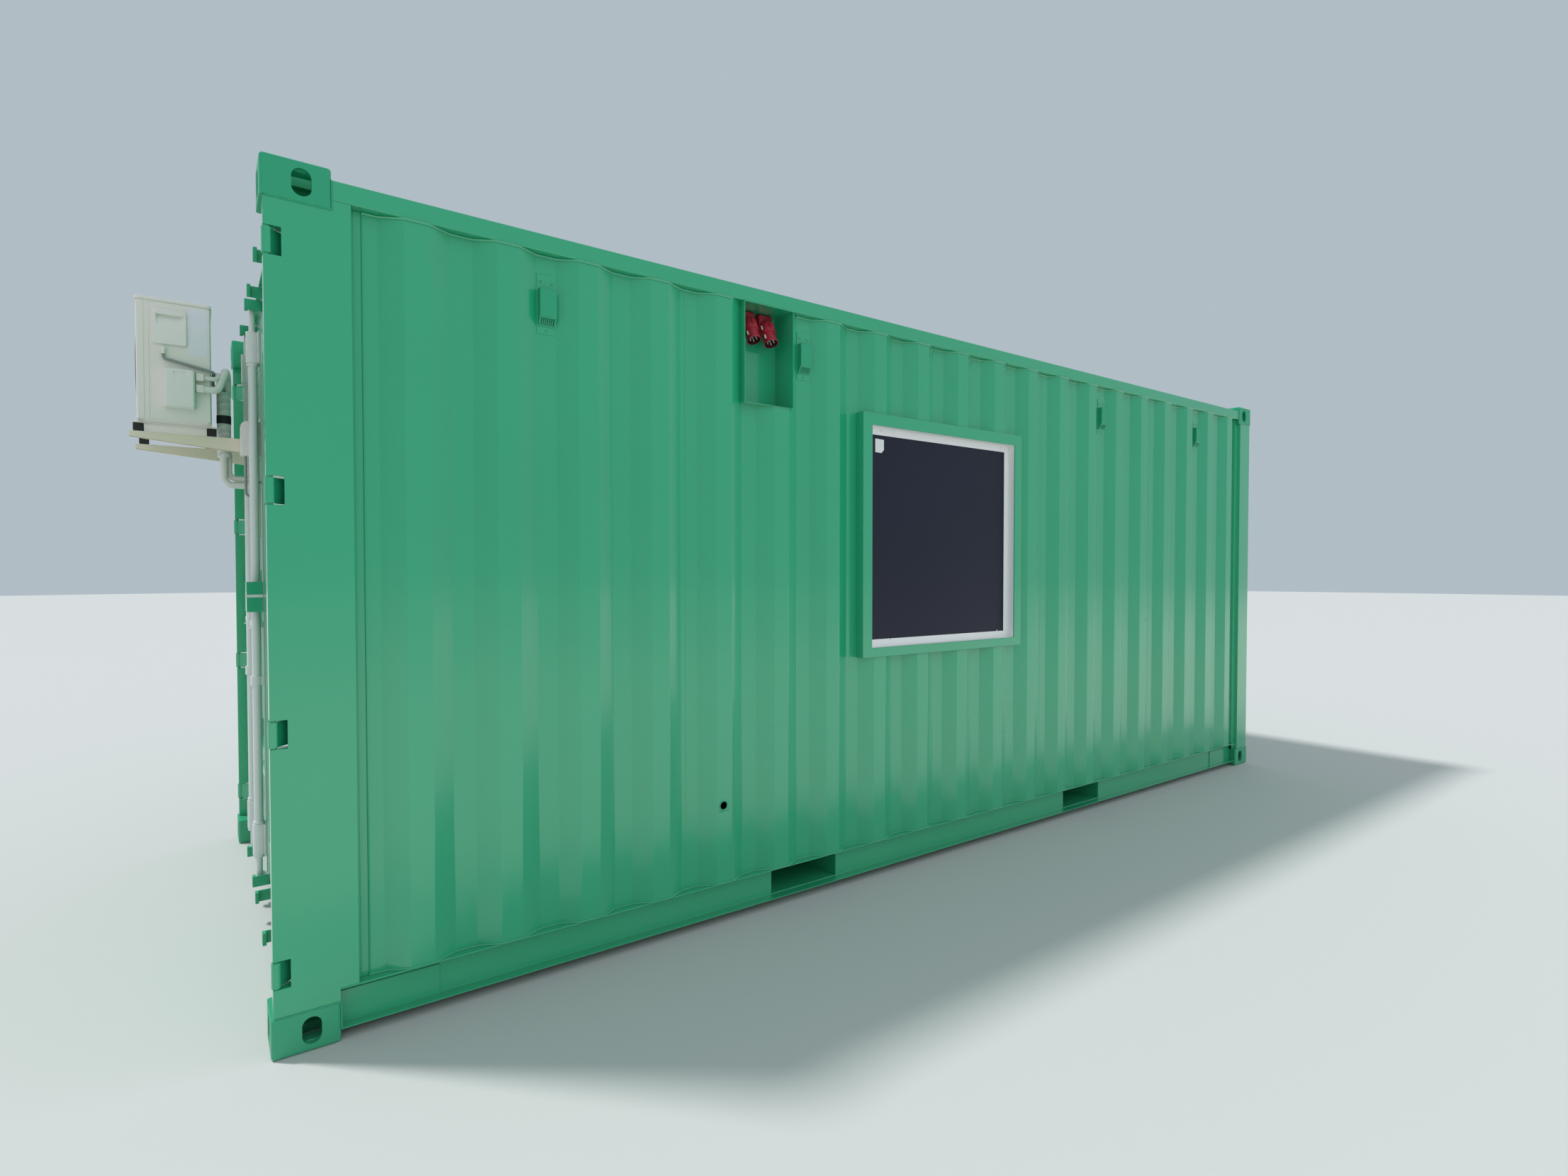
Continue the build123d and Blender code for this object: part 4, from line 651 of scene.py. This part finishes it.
def spun(profile, centre, axis, sides=24):
    """Surface of revolution: each (radius, height) of the profile swept round the axis through the centre."""
    profile = np.asarray(profile, float)
    axis = np.asarray(axis, float) / np.linalg.norm(axis)
    first = np.cross(axis, (0.0, 0.0, 1.0) if abs(axis[2]) < 0.9 else (1.0, 0.0, 0.0))
    first /= np.linalg.norm(first)
    second = np.cross(axis, first)
    a = np.linspace(0.0, 2.0 * np.pi, sides, endpoint=False)[:, None]
    ring = np.cos(a) * first + np.sin(a) * second
    points = np.asarray(centre) + profile[:, 1, None, None] * axis + profile[:, 0, None, None] * ring
    number = np.arange(len(profile) * sides).reshape(len(profile), sides)
    return points.reshape(-1, 3), quads(np.hstack([number, number[:, :1]])).reshape(-1, 4)


def screw(centre, axis, radius=0.0045):
    """Pan head: a low dome with a dimple in its middle, on a flat seat."""
    r = radius
    return spun([(0.0, 0.30 * r), (0.25 * r, 0.32 * r), (0.36 * r, 0.62 * r), (0.65 * r, 0.55 * r),
                 (0.92 * r, 0.30 * r), (r, 0.0), (0.0, -0.001)], centre, axis, 12)


trim_face, pane_face = -1.183, -1.1812
trim_corners = ((2.408, 2.062), (3.272, 2.063), (2.473, 1.090), (3.248, 1.097))
trim_screws = [screw((door_end + x, trim_face, z), (0, -1, 0)) for x, z in trim_corners]
piece("window_screws", *joined(trim_screws), zinc, "shell", "zinc", closed=True)


def flat_label(outline, y, thickness):
    """Paper label facing the front: its outline (X, Z) on the pane and again in front of it."""
    outline = np.asarray(outline, float)
    count = len(outline)
    both = np.concatenate([np.column_stack([outline[:, 0], np.full(count, depth), outline[:, 1]])
                           for depth in (y, y - thickness)])
    ring = np.arange(count)
    after = np.roll(ring, -1)
    sides = np.stack([ring, after, after + count, ring + count], -1).tolist()
    return both, sides + [ring[::-1].tolist(), (ring + count).tolist()]


paper = coated("paper_label", (236, 237, 234), (226, 228, 226), 0.6, 0.05)
label_outline = [(door_end + 2.375, 2.024), (door_end + 2.429, 2.022), (door_end + 2.429, 1.975),
                 (door_end + 2.414, 1.960), (door_end + 2.375, 1.961)]
piece("window_label", *flat_label(label_outline, pane_face, 0.0006), paper, "shell", "white_trim", closed=True)


# Power inlets: a folded sheet recess under the top rail, and two moulded five-pin inlets in red plastic that
# face down and forwards. Each is a round shell with a wider upper part, a narrower cup and small catches.
softened("inlet_recess", 0.0009, green_paint)
red_plastic = coated("red_plastic", (176, 34, 56), (160, 28, 48), 0.30, 0.15, peel=0.3, wave=0.2)
# Painted shade: the mouth inside each cup is the inlets' red in a darker tone.
mouth_painted_shade = coated("mouth_painted_shade", (70, 14, 24), (58, 12, 20), 0.5, 0.1)
inlet_y, inlet_z, tilt = -1.121, 2.452, math.radians(25.0)
aim = np.array([0.0, -math.sin(tilt), -math.cos(tilt)])
over = np.array([0.0, -math.cos(tilt), math.sin(tilt)])


def rounded_rectangle(width, height, corner, steps=5):
    """Outline of a rectangle with round corners, as (across, up) about its middle."""
    a = np.linspace(0.0, np.pi / 2.0, steps)[None] + (np.pi / 2.0) * np.arange(4)[:, None]
    signs = np.array([(1, 1), (-1, 1), (-1, -1), (1, -1)])[:, None]
    arcs = corner * np.stack([np.cos(a), np.sin(a)], -1)
    return (signs * (width / 2.0 - corner, height / 2.0 - corner) + arcs).reshape(-1, 2)


def pad(loops, centre, width, height, corner, across, up):
    """Rounded block: for each (draw in, stand) the rounded outline made smaller and raised off the base plane,
    joined to the next and closed at both ends."""
    across, up = np.asarray(across, float), np.asarray(up, float)
    out_way = np.cross(across, up)
    rings = []
    for inset, stand in loops:
        line = rounded_rectangle(width - 2 * inset, height - 2 * inset, max(corner - inset, 1e-4))
        rings.append(np.asarray(centre) + line[:, :1] * across + line[:, 1:] * up + stand * out_way)
    count = len(rings[0])
    number = np.arange(len(rings) * count).reshape(len(rings), count)
    sides = quads(np.hstack([number, number[:, :1]]))[..., [0, 3, 2, 1]].reshape(-1, 4)
    return np.concatenate(rings), sides.tolist() + [number[0][::-1].tolist(), number[-1].tolist()]


base_line = [(0.0, 0.0), (0.0, 0.030), (0.002, 0.033), (0.005, 0.034)]
shell_line = [(0.0, -0.014), (0.014, -0.013), (0.024, -0.008), (0.030, 0.0), (0.0325, 0.010), (0.0325, 0.046),
              (0.031, 0.049), (0.0275, 0.050), (0.0270, 0.086), (0.0300, 0.088), (0.0300, 0.095), (0.0290, 0.096),
              (0.0268, 0.0962)]
mouth_line = [(0.0268, 0.0962), (0.0258, 0.094), (0.0254, 0.064), (0.0, 0.064)]
boss_line = [(0.0, 0.0), (0.0, 0.008), (0.002, 0.010)]
pin_line = [(0.0, 0.060), (0.0025, 0.060), (0.0025, 0.088), (0.0016, 0.091), (0.0, 0.0915)]
catch_line = [(0.0, -0.010), (0.0030, -0.009), (0.0038, 0.0), (0.0030, 0.009), (0.0, 0.010)]
across = np.array([1.0, 0.0, 0.0])
shells, mouths, pins, catches = [], [], [], []
for x in (door_end + 1.712, door_end + 1.800):
    middle = np.array([x, inlet_y, inlet_z])
    shells.append(pad(base_line, (x, -1.087, inlet_z), 0.066, 0.086, 0.006, across, (0, 0, 1)))
    shells.append(spun(shell_line, middle, aim, 40))
    mouths.append(spun(mouth_line, middle, aim, 40))
    shells.append(pad(boss_line, middle + (aim + over) * 0.026, 0.022, 0.030, 0.004, across, -aim))
    for a in np.linspace(0.0, 2.0 * np.pi, 5, endpoint=False) + 0.3:
        pins.append(spun(pin_line, middle + 0.014 * (math.cos(a) * across + math.sin(a) * over), aim, 12))
    for along, out_by in ((0.026, 0.0325), (0.070, 0.0285)):
        catches.append(spun(catch_line, middle + along * aim - out_by * across + 0.008 * over, aim, 12))
piece("inlet_shells", *joined(shells), red_plastic, "shell", "red_plastic", "power_inlets", closed=True)
piece("inlet_mouths", *joined(mouths), mouth_painted_shade, "shell", "red_plastic", closed=True)
piece("inlet_pins", *joined(pins), zinc, "shell", "zinc", closed=True)
piece("inlet_catches", *joined(catches), zinc, "shell", "zinc", closed=True)


# Air vents: a thin steel flange screwed to the wall, and on it a folded hood that slopes in at its foot, where
# seven slots let it breathe.
vent_foot = 2.230


def vent_hood(x, side):
    """Hood's line (out, up) carried along X: foot, knee, head and back, with slots between foot and knee."""
    foot, knee, brow, back = (0.002, 0.023), (0.026, 0.060), (0.026, 0.152), (0.002, 0.152)
    line = rounded_line([foot, knee, brow, back], 0.004)
    line = np.concatenate([np.linspace(foot, line[1], 6), line[2:]])
    slots = np.arange(-3, 4)[:, None] * 0.0072 + np.array([-0.0017, 0.0017])
    xs = np.concatenate([[-0.029, -0.0275], slots.ravel(), [0.0275, 0.029]])
    points = np.empty((len(xs), len(line), 3))
    points[..., 0] = x + xs[:, None]
    points[..., 1] = side * (-wall_in + line[:, 0])
    points[..., 2] = vent_foot + line[:, 1]
    keep = np.ones((len(xs) - 1, len(line) - 1), dtype=bool)
    keep[2:16:2, 1:4] = False
    faces = grid_faces(*points.shape[:2], keep, turned_over=side > 0).tolist()
    number = np.arange(len(xs) * len(line)).reshape(len(xs), len(line))
    cheeks = [number[0].tolist(), number[-1][::-1].tolist()]
    return points, faces + [cheek[::-1] if side > 0 else cheek for cheek in cheeks]


flange_width, flange_height, flange_gauge = 0.068, 0.205, 0.002
flange_line = [(0.0, 0.0), (0.0, 0.0015), (0.0005, flange_gauge)]
hoods, flanges, vent_screws = [], [], []
for x in (door_end + 0.831, door_end + 1.955, door_end + 4.203, door_end + 5.327):
    for side in (-1, 1):
        hoods.append(vent_hood(x, side))
        flanges.append(pad(flange_line, (x, -side * wall_in, vent_foot + flange_height / 2.0), flange_width,
                           flange_height, 0.002, (-side, 0, 0), (0, 0, 1)))
        for aside, up in ((-0.020, 0.178), (0.020, 0.176), (0.0, 0.011)):
            seat = (x + aside, side * (-wall_in + flange_gauge), vent_foot + up)
            vent_screws.append(screw(seat, (0, side, 0), 0.005))
thick(piece("vent_hoods", *joined(hoods), cast_green, "shell", "green_paint", "vents"), 0.0012)
piece("vent_flanges", *joined(flanges), green_paint, "shell", "green_paint", closed=True)
piece("vent_screws", *joined(vent_screws), green_paint, "shell", "green_paint", closed=True)


# Outdoor unit: a casing of white coated sheet with a thin lid, a front panel that wraps round the corner, two
# moulded covers on its near side, and a wire guard over the fan. It stands on rubber feet on two arms.
cooler_white = coated("cooler_white", (237, 230, 222), (232, 225, 217), 0.35, 0.12)
moulded_white = coated("moulded_white", (240, 234, 229), (234, 228, 223), 0.42, 0.25, peel=0.6, wave=0.2, scale=500.0)
arm_cream = coated("arm_cream", (240, 229, 208), (232, 221, 199), 0.38, 0.15)
label_film = coated("label_film", (236, 232, 240), (230, 226, 235), 0.4, 0.05)
grey_plastic = coated("grey_plastic", (92, 94, 94), (80, 82, 82), 0.45, 0.1)
black_rubber = coated("black_rubber", (28, 28, 29), (36, 36, 37), 0.6, 0.2)
near_side = 0.135
softened("cooler_case", 0.0018, cooler_white)
softened("cooler_arms", 0.0012, arm_cream)
softened("cooler_feet", 0.003, black_rubber)
softened("cooler_fan", 0.001, grey_plastic)
facing = (1, 0, 0), (0, 0, 1)
pressed = [(0.0, 0.0), (0.0, 0.0010), (0.0008, 0.0020)]
panel_level, panel_height = 2.249, 0.460
panels = [pad(pressed, (door_end - out, near_side, panel_level), width, panel_height, corner, *facing)
          for out, width, corner in ((0.3245, 0.021, 0.003), (0.302, 0.009, 0.002), (0.197, 0.190, 0.004))]
piece("case_side_panels", *joined(panels), cooler_white, "shell", "cooler_white", closed=True)
film = [(0.0, 0.0018), (0.0, 0.0022), (0.0002, 0.0025)]
piece("case_label", *pad(film, (door_end - 0.1395, near_side, 2.379), 0.060, 0.190, 0.001, *facing), label_film,
      "shell", "white_trim", closed=True)


def moulded_cover(x_low, x_high, z_low, z_high, stand, edge, corner, pocket):
    """Height off the casing: stand * sqrt(1 - (1 - d / edge)^2), d being how far a point lies inside the rounded
    outline, less a hand pocket, given as (left, right, low, high, depth), that is deepest under its top edge."""
    x, z = np.meshgrid(np.linspace(x_low, x_high, 57), np.linspace(z_low, z_high, 73), indexing="ij")
    qx = np.abs(x - (x_low + x_high) / 2.0) - (x_high - x_low) / 2.0 + corner
    qz = np.abs(z - (z_low + z_high) / 2.0) - (z_high - z_low) / 2.0 + corner
    inside = corner - np.hypot(np.maximum(qx, 0), np.maximum(qz, 0)) - np.minimum(np.maximum(qx, qz), 0)
    t = 1.0 - np.clip(inside / edge, 0.0, 1.0)
    height = stand * np.sqrt(1.0 - t ** 2) - 0.001
    left, right, low, high, depth = pocket
    span = np.clip(np.minimum(x - left, right - x) / 0.005, 0.0, 1.0)
    drop = np.clip((z - low) / (high - low), 0.0, 1.0) ** 1.5 * np.clip((high + 0.003 - z) / 0.003, 0.0, 1.0)
    height -= depth * span * drop
    return np.stack([x, near_side - height, z], -1), grid_faces(*x.shape)


upper = moulded_cover(door_end - 0.287, door_end - 0.175, 2.313, 2.455, 0.014, 0.004, 0.010,
                      (door_end - 0.274, door_end - 0.190, 2.380, 2.429, 0.0125))
lower = moulded_cover(door_end - 0.255, door_end - 0.149, 2.063, 2.223, 0.045, 0.009, 0.012,
                      (door_end - 0.222, door_end - 0.172, 2.185, 2.204, 0.005))
piece("cooler_cover_mouldings", *joined([upper, lower]), moulded_white, "shell", "cooler_white", "cooler_covers")
lip_x = np.linspace(door_end - 0.276, door_end - 0.188, 12)
lip = np.column_stack([lip_x, np.full_like(lip_x, near_side - 0.0165), np.full_like(lip_x, 2.4345)])
piece("cover_handle_lip", *tube(lip, 0.0048), moulded_white, "shell", "cooler_white", closed=True)
gland_x, gland_y = door_end - 0.252, 0.1215
gland_line = [(0.0, 0.014), (0.006, 0.014), (0.0085, 0.012), (0.0085, 0.002), (0.0070, 0.0), (0.0065, -0.014),
              (0.0, -0.014)]
piece("cable_gland", *spun(gland_line, (gland_x, gland_y, 2.290), (0, 0, 1), 20), moulded_white, "shell",
      "cooler_white", closed=True)


# Fan guard: welded wire rings on radial wires round a plain disc, with a coat of dark grey plastic, clipped over
# the round opening in the casing's front.
guard_low, guard_high = (np.array(corner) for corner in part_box("cooler_fan_guard"))
guard_middle = (guard_low + guard_high) / 2.0
guard_reach = (guard_high[1] - guard_low[1]) / 2.0
ring_wire, rim_wire, radial_wire = 0.0016, 0.0045, 0.0018
turn = np.linspace(0.0, 2.0 * np.pi, 72, endpoint=False)
circle = np.stack([np.zeros_like(turn), np.cos(turn), np.sin(turn)], -1)
wires = []
for share in np.linspace(0.26, 0.90, 9):
    ring = guard_middle + circle * guard_reach * share + np.array([-0.0030, 0.0, 0.0])
    wires.append(tube(ring, ring_wire, up=(1.0, 0.0, 0.0), sides=6, closed=True))
wires.append(tube(guard_middle + circle * (guard_reach - 0.005), rim_wire, up=(1.0, 0.0, 0.0), closed=True))
for a in np.linspace(0.0, 2.0 * np.pi, 16, endpoint=False):
    way = np.array([0.0, math.cos(a), math.sin(a)])
    path = guard_middle + way * np.linspace(0.10, 0.97, 8)[:, None] * guard_reach
    wires.append(tube(path, radial_wire, up=(1.0, 0.0, 0.0), sides=6))
piece("fan_guard_wires", *joined(wires), grey_plastic, "shell", "grey_plastic", "cooler_fan_guard", closed=True)
disc_line = [(0.0, 0.0050), (0.036, 0.0048), (0.042, 0.0035), (0.043, 0.0), (0.040, -0.003), (0.0, -0.003)]
piece("fan_guard_disc", *spun(disc_line, guard_middle, (-1, 0, 0), 48), grey_plastic, "shell", "grey_plastic",
      closed=True)


# Pipes: two copper lines in white foam lagging leave the valves and go down in a bundle wrapped with silver
# grey tape, with a black band round it. Two lagged lines loop out of its foot into the door.
pipe_lagging = coated("pipe_lagging", (232, 231, 224), (222, 221, 214), 0.55, 0.3, peel=0.5, wave=0.3)


def wrapped_tape():
    """Grey tape wound up the bundle: ridges every 28 mm along a slant. Each turn's tone climbs from darker to lighter
    across its ridge: painted shading of the ridges.
    """
    material, tree, links, plain = shader("wrapped_tape")
    place, mapping, turns = (tree.new("ShaderNode" + kind) for kind in ("TexCoord", "Mapping", "TexWave"))
    mapping.inputs["Rotation"].default_value = (0.35, 0.25, 0.0)
    turns.bands_direction = "Z"
    turns.wave_profile = "SAW"
    turns.inputs["Scale"].default_value = 11.0
    turns.inputs["Distortion"].default_value = 0.8
    links.new(place.outputs["Object"], mapping.inputs["Vector"])
    links.new(mapping.outputs[0], turns.inputs["Vector"])
    # Painted shading: the tone goes from darker to lighter across each ridge, with the bump.
    tone = mixed(tree, links, linear(206, 208, 206), linear(236, 237, 234), turns.outputs["Fac"])
    links.new(tone, plain.inputs["Base Color"])
    plain.inputs["Roughness"].default_value = 0.34
    raised(tree, links, plain, turns.outputs["Fac"], 0.5, 0.0015)
    return material


silver_wrap = wrapped_tape()
pipes = softened("cooler_pipes", 0.0, pipe_lagging)
pipes.data.materials.append(silver_wrap)
spots = np.empty(3 * len(pipes.data.polygons))
pipes.data.polygons.foreach_get("center", spots)
spots = spots.reshape(-1, 3)
bundle_x, bundle_y, bundle_radius = door_end - 0.054, 0.310, 0.0256
bundle_foot, bundle_head = 1.8995, 2.1805
in_bundle = ((np.hypot(spots[:, 0] - bundle_x, spots[:, 1] - bundle_y) < bundle_radius)
             & (spots[:, 2] > bundle_foot) & (spots[:, 2] < bundle_head))
pipes.data.polygons.foreach_set("material_index", in_bundle.astype(np.int32))
band_line = [(0.0250, -0.017), (0.0262, -0.017), (0.0264, 0.0), (0.0262, 0.018), (0.0250, 0.018),
             (0.0250, -0.017)]
piece("bundle_band", *spun(band_line, (bundle_x, bundle_y, 2.062), (0, 0, 1), 40), black_rubber, "shell",
      "black_rubber", closed=True)


# Cowl and cables: a moulded white cowl on the door, with a grey cable that loops out of its foot, and the outdoor
# unit's supply cable in the same grey, which runs from its gland to the head of the pipe bundle.
cable_grey = coated("cable_grey", (146, 156, 150), (132, 142, 138), 0.45, 0.2)
softened("pipe_cowl", 0.005, moulded_white, segments=3)
refinish("cowl_cable", cable_grey)
cable_turns = [(gland_x, gland_y, 2.282), (gland_x, gland_y, 2.258), (door_end - 0.0905, 0.1205, 2.224),
               (door_end - 0.0905, 0.205, 2.224), (door_end - 0.0905, 0.292, 2.199), (bundle_x, 0.292, 2.199),
               (bundle_x, 0.292, 2.178)]
cable_path = rounded_line(cable_turns, 0.012, 6)
piece("supply_cable_sheath", *tube(cable_path, 0.0058, up=(0.3, -0.5, 0.81), sides=12), cable_grey, "shell",
      "black_rubber", "supply_cable", closed=True)
